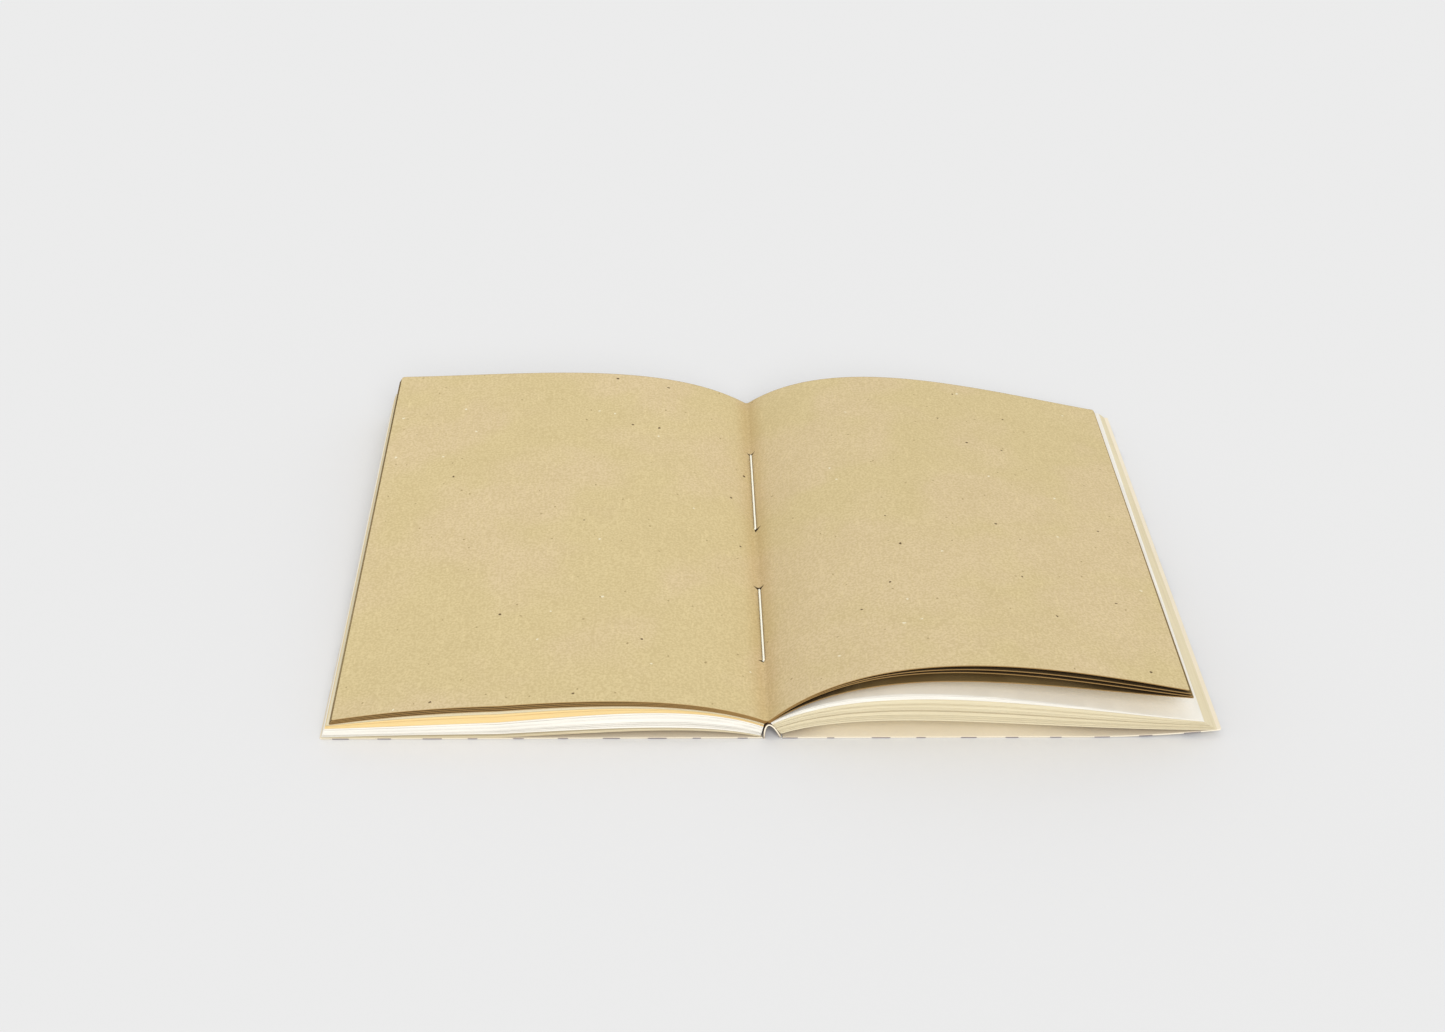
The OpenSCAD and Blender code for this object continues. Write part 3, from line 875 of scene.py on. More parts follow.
@dataclass
class PageStack:
    """One side's stack of sections: its bed, its growth from the cover up and its edges."""

    sizes: BookSizes
    side: Side
    bed_tail: tuple[float, ...]
    bed_head: tuple[float, ...]
    inset: float
    bevel: float
    lean: float
    press_head: tuple[float, ...]
    steps: tuple[tuple[float, ...], ...]

    @property
    def reach(self) -> float:
        """Distance from the fold line to the edge of the lowest leaf."""
        return self.sizes.cover_edge - self.side.value * self.sizes.fold_x - self.inset

    @property
    def root_total(self) -> float:
        """Thickness of the whole stack at its fold side."""
        return sum(step[0] for step in self.steps)

    def grown(self, count: int) -> np.ndarray:
        """Sum of the first growths over the bed."""
        return np.sum(self.steps[:count], axis=0) if count else NONE

    def rise(self, count: int, v: np.ndarray) -> np.ndarray:
        """Growth over the bed after some steps, pressed thinner towards the head."""
        return spread(self.grown(count), self.grown(count) * np.array(self.press_head), v)

    def level(
        self, rise: np.ndarray, reach: np.ndarray | float, bevel: float, t: np.ndarray, v: np.ndarray
    ) -> np.ndarray:
        """Places of one level of the stack.

        Across the page x follows a cubic curve from the root to the edge. The height is the
        bed's curve, never under the cover's inner face, plus the curve of the growth.

        Args:
            rise: Growth over the bed, first axis 4.
            reach: Distance of the edge of the lowest leaf from the fold line.
            bevel: How far each millimetre of growth sets the edge back.
            t: Places across the page.
            v: Places along the book.

        Returns:
            x and z, first axis 2.
        """
        sizes = self.sizes
        root = sizes.root_gap + self.lean * np.maximum(0, self.root_total - rise[0])
        ends = np.broadcast_arrays(root, sizes.handle_in, sizes.handle_out, reach - bevel * rise[3])
        x = sizes.fold_x + self.side.value * bend(np.stack(ends), t)
        floor = sizes.card_t + sizes.curl(x, v) + sizes.sheet_gap
        bed = bend(spread(self.bed_tail, self.bed_head, v), t)
        return np.stack([x, np.maximum(bed, floor) + bend(rise, t)])

    def between(self, low: int, high: int, t: np.ndarray, v: np.ndarray, w: np.ndarray) -> np.ndarray:
        """Places inside the section between two steps, at share w of its thickness."""
        rise = self.rise(low, v) * (1 - w) + self.rise(high, v) * w
        x, z = self.level(rise, self.reach, self.bevel, t, v)
        y = (v - 0.5) * self.sizes.page_h
        return np.stack([x, np.broadcast_to(y, x.shape), z + self.sizes.sheet_gap * (0.5 - w)])


def left_stack(sizes: BookSizes) -> PageStack:
    """Stack under the left kraft page, from the cover up."""
    return PageStack(
        sizes=sizes,
        side=Side.LEFT,
        bed_tail=(0.7, 9.0, -4.2, 0.6),
        bed_head=(0.7, 13.6, 1.8, 6.0),
        inset=0.45,
        bevel=0.4,
        lean=0.2,
        press_head=(1.0, 1.0, 1.0, 1.0),
        steps=(
            (0.5, 1.0, 0.9, 0.3),
            (0.05, 0.4, 1.6, 0.05),
            (2.1, 7.4, 0.7, 1.8),
            (1.8, 2.2, 2.6, 1.9),
            (0.6, 0.4, 6.8, 1.1),
            (0.6, 0.4, 2.2, 0.5),
        ),
    )


def right_stack(sizes: BookSizes) -> PageStack:
    """Stack under the right kraft page, from the cover up."""
    return PageStack(
        sizes=sizes,
        side=Side.RIGHT,
        bed_tail=(2.0, 14.0, 2.6, 3.2),
        bed_head=(2.0, 14.8, 2.8, 0.6),
        inset=1.35,
        bevel=1.4,
        lean=0.75,
        press_head=(1.0, 1.0, 0.9, 0.5),
        steps=(
            (0.4, 0.6, 0.6, 0.4),
            (0.9, 1.3, 1.8, 0.7),
            (0.9, 3.0, 1.8, 0.7),
            (0.8, 2.2, 1.6, 0.7),
            (1.1, 4.4, 4.3, 0.9),
            (0.7, 4.2, 0.8, 0.9),
        ),
    )


@dataclass
class Section:
    """One sewn section or single leaf of a stack, with the cut edges of its leaves."""

    stack: PageStack
    node: str
    low_step: int
    leaves: int
    slot: Slot
    seed: int
    across: int = 96
    along: int = 28
    ragged: float = 0.12
    groove: float = 0.14
    deep_share: float = 0.3
    deep_groove: float = 0.55
    deep_half: float = 0.42
    rounding: float = 0.16
    fold_reach: float = 0.2
    foot_level: float = 0.3
    foot_inset: float = 0.16
    crowding: float = 1.15

    def rows(self) -> FourArrays:
        """Wall rows of the block: two for each leaf's edge and one for the groove above it.

        Returns:
            The height shares, the shares at which the fore-edge is placed, the insets and
            the shades of the rows, which give each leaf a random tone and paint shade in the grooves and
            at the foot.
        """
        draw = np.random.default_rng(self.seed)
        leaf = np.arange(self.leaves)
        inset = draw.uniform(0.0, self.ragged, self.leaves)
        deep = draw.uniform(0, 1, self.leaves) < self.deep_share
        depth = np.where(deep, self.deep_groove, self.groove)
        half = np.where(deep, self.deep_half, self.rounding)
        tint = draw.uniform(0, 0.2, self.leaves)
        # Painted shade in the grooves between leaves, full in the deep ones.
        line = np.where(deep, 1.0, draw.uniform(0.1, 0.45, self.leaves))
        low, high, gap = leaf + np.roll(half, 1), leaf + 1 - half, leaf + 1.0
        low[0], high[-1] = self.deep_half, self.leaves
        levels = np.stack([low, high, gap], 1).ravel()[:-1]
        insets = np.stack([inset, inset, inset + depth], 1).ravel()[:-1]
        shades = np.stack([tint, tint, line], 1).ravel()[:-1]
        levels = np.concatenate([[0.0, self.foot_level], levels]) / self.leaves
        insets = np.concatenate([[self.foot_inset, self.foot_inset], insets])
        # The foot row paints a line of shade along the section's foot.
        shades = np.concatenate([[0.0, 1.0], shades])
        edges = np.concatenate([[0.0, 0.0], np.repeat(leaf + 0.5, 3)[:-1]]) / self.leaves
        return levels, edges, insets, shades

    def build(self, finish: bpy.types.Material) -> bpy.types.Object:
        """Makes the section's piece and hands it to its half of the book."""
        levels, edges, insets, shades = self.rows()
        shell = Shell(
            place=lambda t, v, w: self.stack.between(self.low_step, self.low_step + 1, t, v, w),
            t=rows_of(self.across) ** self.crowding,
            v=rows_of(self.along),
            levels=levels,
            insets=insets,
            mirrored=self.stack.side is Side.LEFT,
            wall_levels=edges,
            shades=shades,
            fold_reach=self.fold_reach,
        )
        piece = make_piece(f"{self.node}_paper", [shell.build()], finish)
        fit_out(piece, self.slot, self.node)
        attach(piece, HALF_BODY[self.stack.side].value)
        return piece


@dataclass(frozen=True)
class NeedleHole:
    """Hole pricked through the fold: an ellipse with its own reach to each side."""

    place: float
    left: float
    right: float
    half_length: float
    shift: float = 0.0

    def notch(self, side: Side, y: np.ndarray) -> np.ndarray:
        """Reach of the hole from the fold line at y: reach times the root of 1 - (dy / half length)^2."""
        reach = self.left if side is Side.LEFT else self.right
        off = (y - self.place - self.shift) / self.half_length
        return reach * np.sqrt(np.clip(1 - off**2, 0, None))


@dataclass
class KraftLeaves:
    """The kraft leaves of one side, from the fold line to their outer edges."""

    stack: PageStack
    node: str
    lift_tail: np.ndarray
    lift_head: np.ndarray
    fans_tail: tuple[tuple[float, ...], ...]
    fans_head: tuple[tuple[float, ...], ...]
    short_tail: float
    short_head: float
    holes: tuple[NeedleHole, ...]
    corner_tail: float = 1.2
    corner_head: float = 1.2
    leaf_t: float = 0.28
    bevel: float = 0.6
    count: int = 4
    fold_rows: int = 9
    across: int = 64
    along: int = 36
    hole_rows: int = 11
    fore_cut: float = 0.2
    inner_shade: float = 0.95
    crowding: float = 1.1
    tip_reach: float = 0.012
    blend_inset: float = 0.1
    edge_rows: tuple[float, ...] = (2.0, 1.0, 0.5, 0.25, 0.1, 0.0)

    def rise(self, k: int, v: np.ndarray) -> np.ndarray:
        """Growth under leaf k: the stack, the lift and the fanned leaves beneath."""
        below = self.stack.rise(len(self.stack.steps), v) + spread(self.lift_tail, self.lift_head, v)
        both = self.fans_tail, self.fans_head
        tail, head = (np.sum(fans[:k], axis=0) if k else NONE for fans in both)
        return below + k * self.leaf_t + spread(tail, head, v)

    def reach(self, k: int, v: np.ndarray) -> np.ndarray:
        """Distance of leaf k's edge from the fold line."""
        short = self.short_tail + (self.short_head - self.short_tail) * v
        return self.stack.reach - short - self.bevel * (self.rise(k, v)[3] - self.rise(0, v)[3])

    def place(self, k: int, u: np.ndarray, v: np.ndarray, w: np.ndarray) -> np.ndarray:
        """Places in leaf k.

        Past the root the leaf follows the stack's curves. Between the fold line and the root
        its height is a cubic that starts level at the fold and meets the leaf's own slope.
        The ends are cut square, with each outer corner rounded by a quarter circle.

        Args:
            k: Number of the leaf, from the lowest.
            u: Places across: -1 at the fold line, 0 at the root, 1 at the outer edge.
            v: Places along the book.
            w: Share of the leaf's thickness.

        Returns:
            x, y and z, first axis 3.
        """
        sizes, side = self.stack.sizes, self.stack.side
        t = np.clip(u, 0, 1)
        rise = self.rise(k, v) + w * self.leaf_t
        reach = self.reach(k, v)
        x, z = self.stack.level(rise, reach, 0.0, t, v)
        radius = self.corner_tail + (self.corner_head - self.corner_tail) * (v > 0.5)
        past = np.clip(np.abs(x - sizes.fold_x) - reach + radius, 0, radius)
        half = sizes.page_h / 2 - (radius - np.sqrt(np.clip(radius**2 - past**2, 0, None)))
        y = (2 * v - 1) * half
        notch = np.max([hole.notch(side, y) for hole in self.holes], axis=0)
        q = np.clip(1 + u, 0, 1)
        across = notch + (sizes.root_gap - notch) * q
        share = across / sizes.root_gap
        ply = sizes.trough_z - sizes.fold_low
        fold_z = sizes.trough_z - ply / self.count * (self.count - k - w)
        near = self.stack.level(rise, reach, 0.0, np.full_like(t, 1e-3), v)
        slope = (near[1] - z) / np.where(u <= 0, np.abs(near[0] - x), 1.0)
        rounded = share**2 * (3 - 2 * share)
        fold_curve = fold_z + (z - fold_z) * rounded + slope * sizes.root_gap * (share**3 - share**2)
        inner = u < 0
        x = np.where(inner, sizes.fold_x + side.value * across, x)
        z = np.where(inner, fold_curve, z)
        return np.stack([x, y, z])

    def along_places(self) -> np.ndarray:
        """Places along the book, closer together at the needle holes."""
        page_h = self.stack.sizes.page_h
        even = rows_of(self.along)
        tip = rows_of(4) ** 2 * self.tip_reach
        around = rows_of(self.hole_rows, -1.0, 1.0)
        spots = [
            (hole.place + hole.shift + around * hole.half_length) / page_h + 0.5 for hole in self.holes
        ]
        return np.unique(np.round(np.concatenate([even, tip, 1 - tip, *spots]), 6))

    def build(self, finish: bpy.types.Material) -> bpy.types.Object:
        """Makes the leaves as one piece that runs from the sewing into its half."""
        sizes, side = self.stack.sizes, self.stack.side
        fold = rows_of(self.fold_rows, -1.0, 0.0)[:-1]
        page = rows_of(self.across) ** self.crowding
        ends = 1 - np.array(self.edge_rows) / sizes.cover_edge
        t = np.unique(np.round(np.concatenate([fold, page[:-1], ends]), 6))
        levels = np.array([0.0, 0.2, 0.8, 1.0])
        insets = np.array([0.05, 0.0, 0.0, 0.05])
        shells = []
        for k in range(self.count):
            shell = Shell(
                place=lambda u, v, w, k=k: self.place(k, u, v, w),
                t=t,
                v=self.along_places(),
                levels=levels,
                insets=insets,
                mirrored=side is Side.LEFT,
                # Painted shade: darker at the foot of each leaf's edge, and on the faces of the lower
                # leaves.
                shades=np.array([0.6, 0.2, 0.2, 0.0]),
                top_shade=0.0 if k == self.count - 1 else self.inner_shade,
                fore_cut=self.fore_cut,
                fold_cut=0.0,
            )
            shells.append(shell.build())
        piece = make_piece(f"{self.node}_paper", shells, finish, sharp_deg=50.0)
        fit_out(piece, Slot.KRAFT, self.node)
        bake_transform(piece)
        return piece


@dataclass
class Cover:
    """The folded cover card: two panels and the strip that arches between their creases."""

    sizes: BookSizes
    spine_half: float = 3.0
    crease_gap: float = 0.3
    strip_lean_x: float = -0.8
    corner: float = 0.8
    rounding: float = 0.12
    foot_z: float = 0.5
    under_reach: float = 0.02
    panel_rows: int = 60
    strip_rows: int = 26
    along_rows: int = 24
    end_share: float = 0.002
    edge_rows: tuple[float, ...] = (1.6, 0.8, 0.4, 0.2, 0.08, 0.0)

    @property
    def along(self) -> np.ndarray:
        """Places along the book, with one more row close to each end."""
        return np.unique(np.concatenate([rows_of(self.along_rows), [self.end_share, 1 - self.end_share]]))

    @property
    def levels(self) -> np.ndarray:
        """Height shares of the card's wall rows."""
        return np.array([0.0, 0.12, 0.45, 0.55, 0.88, 1.0])

    @property
    def insets(self) -> np.ndarray:
        """Insets that round the card's edges."""
        return np.array([1.0, 0.3, 0.0, 0.0, 0.3, 1.0]) * self.rounding

    def lift(self, side: Side, x: np.ndarray, v: np.ndarray) -> np.ndarray:
        """Height of a panel's underside over the table: only the back cover curls up."""
        return self.sizes.curl(x, v) if side is Side.RIGHT else np.zeros_like(x)

    def panel_place(self, side: Side, t: np.ndarray, v: np.ndarray, w: np.ndarray) -> np.ndarray:
        """Places in a panel: flat from its crease, the back one curling up by the cover's curl."""
        sizes = self.sizes
        reach = sizes.cover_edge - sizes.cover_inner
        x = side.value * (sizes.cover_inner + reach * t)
        past = np.clip(reach * (t - 1) + self.corner, 0, self.corner)
        half = sizes.page_h / 2 - (self.corner - np.sqrt(np.clip(self.corner**2 - past**2, 0, None)))
        return np.stack([x, (2 * v - 1) * half, self.lift(side, x, v) + w * sizes.card_t])

    def panel(self, side: Side, node: str, finish: bpy.types.Material) -> bpy.types.Object:
        """Makes one cover panel."""
        reach = self.sizes.cover_edge - self.sizes.cover_inner
        ends = np.array(self.edge_rows) / reach
        t = np.unique(np.concatenate([rows_of(self.panel_rows), ends, 1 - ends]))
        shell = Shell(
            place=lambda t, v, w: self.panel_place(side, t, v, w),
            t=t,
            v=self.along,
            levels=self.levels,
            insets=self.insets,
            mirrored=side is Side.LEFT,
            shades=np.array([1.0, 1.0, 1.0, 1.0, 0.6, 0.0]),
        )
        vertices, faces, edge, shade = shell.build()
        lift = self.lift(side, vertices[:, 0], vertices[:, 1] / self.sizes.page_h + 0.5)
        shade = np.where(vertices[:, 2] - lift < self.under_reach, 1.0, shade)
        piece = make_piece(f"{node}_card", [(vertices, faces, edge, shade)], finish, sharp_deg=60.0)
        fit_out(piece, Slot.CARD, node)
        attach(piece, HALF_BODY[side].value)
        return piece

    def strip_line(self, t: np.ndarray) -> np.ndarray:
        """Middle line of the strip: a cubic arch from the left crease to the right one."""
        half_t = self.sizes.card_t / 2
        # The middle of a cubic has 3/8 of its two handles together and 1/8 of its end.
        arch = (self.sizes.strip_top - half_t - self.foot_z / 8) / 0.375
        ends = half_t - self.spine_half, self.spine_half - self.crease_gap
        x = np.array([ends[0], -self.spine_half, self.strip_lean_x, ends[1]])
        z = np.array([0.0, 0.44 * arch, 0.56 * arch, self.foot_z])
        shape = (4,) + (1,) * t.ndim
        return np.stack([bend(x.reshape(shape), t), bend(z.reshape(shape), t)])

    def strip_place(
        self, first: float, last: float, u: np.ndarray, v: np.ndarray, w: np.ndarray
    ) -> np.ndarray:
        """Places in a stretch of the strip: its middle line moved square to itself by half the card."""
        t = first + (last - first) * u
        step = 0.01
        ahead, behind = self.strip_line(np.clip(t + step, 0, 1)), self.strip_line(np.clip(t - step, 0, 1))
        run = (ahead - behind) / np.linalg.norm(ahead - behind, axis=0)
        off = (w - 0.5) * self.sizes.card_t
        x, z = self.strip_line(t) + np.stack([-run[1], run[0]]) * off
        return np.stack([x, (v - 0.5) * self.sizes.page_h, np.maximum(z, 0)])

    def strip(self, side: Side, crown: float, finish: bpy.types.Material) -> bpy.types.Object:
        """Makes one leg of the strip, which runs from the sewing to its cover panel."""
        first, last = (0.0, crown) if side is Side.LEFT else (crown, 1.0)
        shell = Shell(
            place=lambda u, v, w: self.strip_place(first, last, u, v, w),
            t=rows_of(self.strip_rows),
            v=self.along,
            levels=self.levels,
            insets=self.insets * 0.5,
            mirrored=False,
        )
        piece = make_piece(f"spine_strip_{side.name.lower()}", [shell.build()], finish, sharp_deg=60.0)
        fit_out(piece, Slot.CARD, "spine_strip")
        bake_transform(piece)
        return piece


@dataclass
class SewingThread:
    """Twisted thread that runs along the fold and passes through its needle holes."""

    sizes: BookSizes
    holes: tuple[NeedleHole, ...]
    plies: int = 3
    twist: float = 2.4
    step: float = 0.22
    sides: int = 8
    corner: float = 0.4
    tail: float = 6.0
    swell: float = 1.2
    ply_share: float = 0.62

    def line(self) -> np.ndarray:
        """Middle line of the thread in the plane of the fold: straight runs with rounded corners.

        Returns:
            Places y and z, close together.
        """
        top = self.sizes.fold_axis_z
        back = self.sizes.fold_low - self.sizes.sheet_gap - self.sizes.thread_r
        places = [hole.place for hole in self.holes]
        corners = [(places[0] - self.tail, back), (places[0], back), (places[0], top)]
        corners += [(places[1], top), (places[1], back), (places[2], back), (places[2], top)]
        corners += [(places[3], top), (places[3], back), (places[3] + self.tail, back)]
        corners = np.array(corners)
        run = [corners[:1]]
        share = rows_of(8)[:, None]
        for before, here, after in zip(corners[:-2], corners[1:-1], corners[2:]):
            start = here + (before - here) / np.linalg.norm(before - here) * self.corner
            end = here + (after - here) / np.linalg.norm(after - here) * self.corner
            run.append(start * (1 - share) ** 2 + here * 2 * share * (1 - share) + end * share**2)
        points = np.concatenate([*run, corners[-1:]])
        way = np.concatenate([[0], np.cumsum(np.linalg.norm(np.diff(points, axis=0), axis=1))])
        even = np.linspace(0, way[-1], int(way[-1] / self.step))
        return np.stack([np.interp(even, way, points[:, i]) for i in (0, 1)], 1)

    def build(self, finish: bpy.types.Material) -> bpy.types.Object:
        """Makes the plies: each is a tube whose middle circles the thread's line as a helix."""
        line = self.line()
        count = len(line)
        run = np.gradient(line, axis=0)
        run /= np.linalg.norm(run, axis=1)[:, None]
        aside = np.tile([1.0, 0.0, 0.0], (count, 1))
        up = np.stack([np.zeros(count), -run[:, 1], run[:, 0]], 1)
        centre = np.stack([np.full(count, self.sizes.fold_x), line[:, 0], line[:, 1]], 1)
        ply_r = self.sizes.thread_r * self.ply_share
        orbit = self.sizes.thread_r * self.swell - ply_r
        angle = rows_of(self.sides + 1)[:-1] * 2 * np.pi
        parts = []
        for ply in range(self.plies):
            phase = 2 * np.pi * (np.arange(count) * self.step / self.twist + ply / self.plies)
            middle = centre + orbit * (np.cos(phase)[:, None] * aside + np.sin(phase)[:, None] * up)
            turn = angle[None, :, None]
            ring = np.cos(turn) * aside[:, None] + np.sin(turn) * up[:, None]
            places = middle[:, None] + ply_r * ring
            # Share of shade painted on each ply, on the side that faces the thread's middle.
            ply_shade = np.clip(-np.cos(angle[None, :] - phase[:, None]), -0.2, 1)
            index = np.arange(count * self.sides).reshape(count, self.sides)
            around = np.roll(index, -1, axis=1)
            quads = np.stack([index[:-1], around[:-1], around[1:], index[1:]], -1).reshape(-1, 4)
            vertices = places.reshape(-1, 3)
            caps = [
                [row[0], row[i], row[i + 1], row[i + 2]]
                for row in (index[0][::-1], index[-1])
                for i in range(1, self.sides - 2, 2)
            ]
            faces = np.concatenate([quads, caps])[:, ::-1]
            parts.append((vertices, faces, np.zeros(len(vertices)), np.clip(ply_shade, 0, 1).ravel()))
        piece = make_piece("sewing_thread_plies", parts, finish, sharp_deg=80.0)
        fit_out(piece, Slot.THREAD, "sewing_thread")
        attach(piece, Body.SPINE.value)
        return piece


@dataclass
class Studio:
    """Pale floor, soft light and the camera."""

    floor_grey: int = 233
    floor_half: float = 6.0
    floor_drop: float = 0.00002
    world_strength: float = 0.7
    key_strength: float = 1.75
    key_tilt: float = 54.0
    key_turn: float = 8.0
    key_softness: float = 40.0
    image_width: float = 1445.0
    focal_pixels: float = 2016.4
    sensor: float = 36.0
    pitch_deg: float = 33.4
    yaw_deg: float = 1.8
    roll_deg: float = 1.0
    camera_mm: tuple[float, float, float] = (-34.4, -626.8, 433.5)

    def floor(self) -> None:
        """Lays the floor, a plain matt sheet far wider than the view."""
        half = self.floor_half
        mesh = bpy.data.meshes.new("floor")
        corners = [(-half, -half), (half, -half), (half, half), (-half, half)]
        mesh.from_pydata([(x, y, -self.floor_drop) for x, y in corners], [], [(0, 1, 2, 3)])
        material, _, shader = new_material("floor_paint", 1.0, 0.0)
        shader.inputs["Base Color"].default_value = linear(*(self.floor_grey,) * 3)
        mesh.materials.append(material)
        floor = bpy.data.objects.new("floor", mesh)
        bpy.context.scene.collection.objects.link(floor)

    def light(self) -> None:
        """Sets the even surrounding light and one wide soft key light from the front.

        The key light is far away, so the floor is lit alike all over.
        """
        world = bpy.data.worlds.new("studio")
        world.use_nodes = True
        background = world.node_tree.nodes["Background"]
        background.inputs["Color"].default_value = (1.0, 1.0, 1.0, 1.0)
        background.inputs["Strength"].default_value = self.world_strength
        bpy.context.scene.world = world
        light = bpy.data.lights.new("key_light", "SUN")
        light.energy = self.key_strength
        light.angle = math.radians(self.key_softness)
        lamp = bpy.data.objects.new("key_light", light)
        lamp.rotation_euler = (math.radians(self.key_tilt), 0.0, math.radians(self.key_turn))
        bpy.context.scene.collection.objects.link(lamp)

    def camera(self) -> None:
        """Sets the camera: turned by yaw about Z, tipped down by pitch, then rolled."""
        pitch, yaw, roll = (math.radians(a) for a in (self.pitch_deg, self.yaw_deg, self.roll_deg))
        level = math.cos(pitch)
        ahead = Vector((math.sin(yaw) * level, math.cos(yaw) * level, -math.sin(pitch)))
        right = Vector((math.cos(yaw), -math.sin(yaw), 0))
        up = right.cross(ahead)
        turned_right = right * math.cos(roll) + up * math.sin(roll)
        turned_up = up * math.cos(roll) - right * math.sin(roll)
        axes = Matrix((turned_right, turned_up, -ahead)).transposed().to_4x4()
        data = bpy.data.cameras.new("camera")
        data.sensor_fit = "HORIZONTAL"
        data.sensor_width = self.sensor
        data.lens = self.focal_pixels / self.image_width * self.sensor
        data.clip_start, data.clip_end = 0.01, 50.0
        camera = bpy.data.objects.new("camera", data)
        camera.matrix_world = Matrix.Translation(Vector(self.camera_mm) * MM) @ axes
        bpy.context.scene.collection.objects.link(camera)
        bpy.context.scene.camera = camera

    def build(self) -> None:
        """Sets up the whole studio with plain colour output."""
        self.camera()
        self.floor()
        self.light()
        bpy.context.scene.view_settings.view_transform = "Standard"


def finishes(sizes: BookSizes) -> dict[Slot, bpy.types.Material]:
    """Builds the shared node groups and one material for each slot.

    Args:
        sizes: Shared sizes, for the place of the painted gutter shade.

    Returns:
        The material of each slot.
    """
    groups = {
        "pulp": fibre_group(),
        "flecks": fleck_group(),
        "painted_shade": painted_shade_group(),
        "prick": prick_group(),
    }
    kraft = KraftFinish(
        name="kraft_paper",
        colour=(219, 200, 151),
        edge_colour=(158, 124, 72),
        # Colours of painted shade: lines under and between the kraft leaves, and gaps and folds.
        tone_and_line_shade_colour=(128, 96, 54),
        painted_shade_colour=(92, 62, 32),
        painted_shade=0.9,
        painted_shade_reach_mm=3.0,
        mottle_colour=(224, 202, 163),
        mottle=0.7,
        cloud=0.10,
        fibre=0.30,
        tooth=0.42,
        flecks=(
            Flecks((140, 116, 74), 160.0, 0.11, 0.10, 0.6),
            Flecks((92, 70, 44), 70.0, 0.065, 0.09, 0.95),
            Flecks((244, 236, 208), 100.0, 0.09, 0.05, 0.8),
        ),
        fold_x=sizes.fold_x,
        pricks=(
            (62.9, 1.6, 1.8, 1.0, 0.85),
            (8.7, 0.3, 2.2, 0.8, 0.95),
            (-29.6, 2.0, 1.8, 0.8, 0.95),
            (-72.4, 1.9, 0.1, 0.1, 0.65),
        ),
    )
    # Line colours: each leaf's random tone and the shade painted in the grooves between leaves.
    line = {"cream": (172, 142, 92), "yellow": (232, 170, 84), "white": (140, 132, 114)}
    papers: dict[Slot, PaperFinish] = {
        Slot.KRAFT: kraft,
        Slot.CREAM: PaperFinish("cream_paper", (252, 243, 216), (232, 222, 191), line["cream"]),
        Slot.YELLOW: PaperFinish("yellow_paper", (250, 222, 152), (240, 216, 158), line["yellow"]),
        Slot.WHITE: PaperFinish(
            "white_paper", (251, 248, 240), (248, 245, 236), line["white"], painted_shade=0.4
        ),
    }
    made = {slot: paper.material(groups) for slot, paper in papers.items()}
    made[Slot.CARD] = CardFinish().material(groups)
    made[Slot.THREAD] = ThreadFinish().material(groups)
    return made


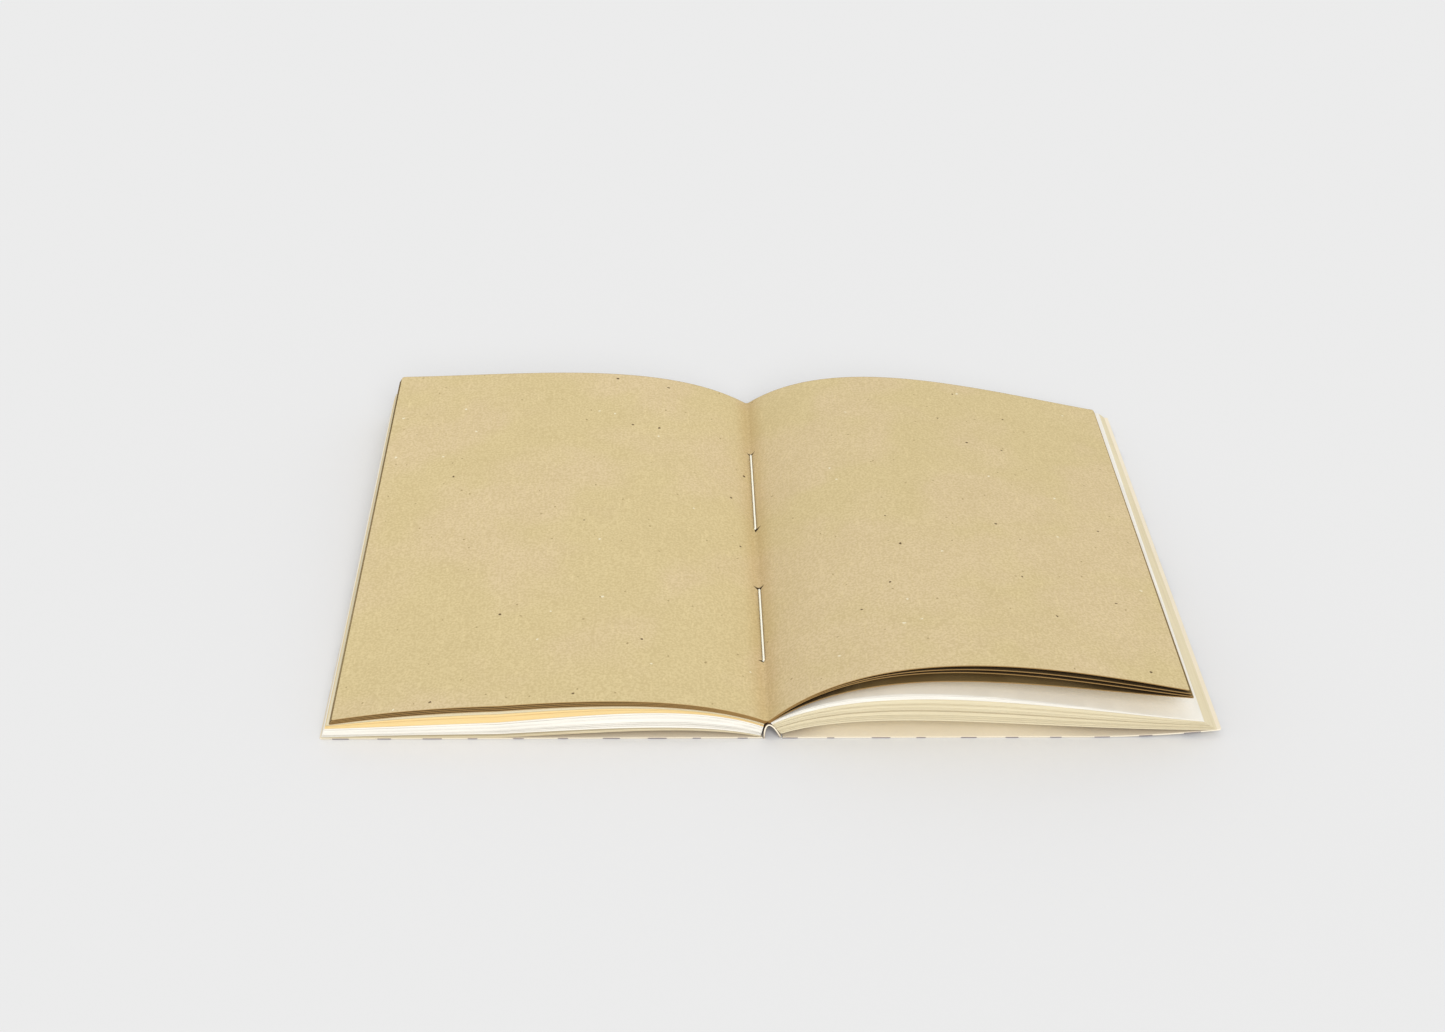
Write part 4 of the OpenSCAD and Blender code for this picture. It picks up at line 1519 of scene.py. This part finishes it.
@dataclass
class Notebook:
    """The whole opened notebook, put together from its sub-assemblies."""

    sizes: BookSizes
    materials: dict[Slot, bpy.types.Material]
    crown: float = 0.42
    holes: tuple[NeedleHole, ...] = (
        NeedleHole(-72.0, 0.5, 0.4, 0.4, -0.1),
        NeedleHole(-30.2, 0.5, 0.5, 0.42, 0.1),
        NeedleHole(10.0, 0.4, 0.5, 0.4, -0.1),
        NeedleHole(62.6, 0.5, 0.5, 0.42, 0.1),
    )

    def sections(self) -> list[Section]:
        """The sections of both stacks, from the covers up."""
        left, right = left_stack(self.sizes), right_stack(self.sizes)
        rows = [
            (left, "last_leaf_left", 0, 2, Slot.CREAM),
            (left, "white_section_left_lower", 2, 14, Slot.WHITE),
            (left, "white_section_left_upper", 3, 12, Slot.WHITE),
            (left, "yellow_section_left", 4, 10, Slot.YELLOW),
            (left, "cream_section_left", 5, 10, Slot.CREAM),
            (right, "last_leaf_right", 0, 2, Slot.CREAM),
            (right, "cream_section_right_1", 1, 10, Slot.CREAM),
            (right, "cream_section_right_2", 2, 10, Slot.CREAM),
            (right, "cream_section_right_3", 3, 10, Slot.CREAM),
            (right, "cream_section_right_4", 4, 14, Slot.CREAM),
            (right, "white_section_right", 5, 10, Slot.WHITE),
        ]
        return [Section(*row, seed) for seed, row in enumerate(rows)]

    def kraft(self) -> list[KraftLeaves]:
        """The kraft leaves of both sides."""
        level = (0.06, 0.34, 0.5, 0.3)
        head = (0.06, 0.1, 0.3, 0.06)
        left = KraftLeaves(
            stack=left_stack(self.sizes),
            node="kraft_leaves_left",
            lift_tail=WHOLE * self.sizes.sheet_gap,
            lift_head=np.array([0.05, 0.9, 1.5, 6.1]),
            fans_tail=(level, level, level),
            fans_head=(level, level, level),
            short_tail=3.2,
            short_head=4.3,
            holes=self.holes,
            corner_tail=0.5,
            corner_head=1.5,
        )
        right = KraftLeaves(
            stack=right_stack(self.sizes),
            node="kraft_leaves_right",
            lift_tail=np.array([0.05, 5.4, 7.0, 9.2]),
            lift_head=np.array([0.05, 0.2, 0.3, 0.35]),
            fans_tail=((0.06, 5.2, 3.8, 0.3), (0.06, 0.2, 2.1, 0.8), (0.06, 0.2, 2.8, 1.2)),
            fans_head=(head, head, head),
            short_tail=9.9,
            short_head=4.6,
            holes=self.holes,
            corner_tail=0.5,
            corner_head=0.8,
            fore_cut=0.6,
        )
        return [left, right]

    def build(self) -> None:
        """Builds every piece in order, from the cover to the thread."""
        cover = Cover(self.sizes)
        cover.panel(Side.LEFT, "front_cover", self.materials[Slot.CARD])
        cover.panel(Side.RIGHT, "back_cover", self.materials[Slot.CARD])
        for side in Side:
            cover.strip(side, self.crown, self.materials[Slot.CARD])
        for section in self.sections():
            section.build(self.materials[section.slot])
        pieces = [leaves.build(self.materials[Slot.KRAFT]) for leaves in self.kraft()]
        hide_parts("kraft_fold")
        SewingThread(self.sizes, self.holes).build(self.materials[Slot.THREAD])


def main() -> None:
    logging.basicConfig(level=logging.INFO, format="%(message)s")
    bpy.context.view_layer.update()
    Studio().build()
    sizes = BookSizes.from_frame()
    Notebook(sizes, finishes(sizes)).build()


if __name__ == "__main__":
    main()
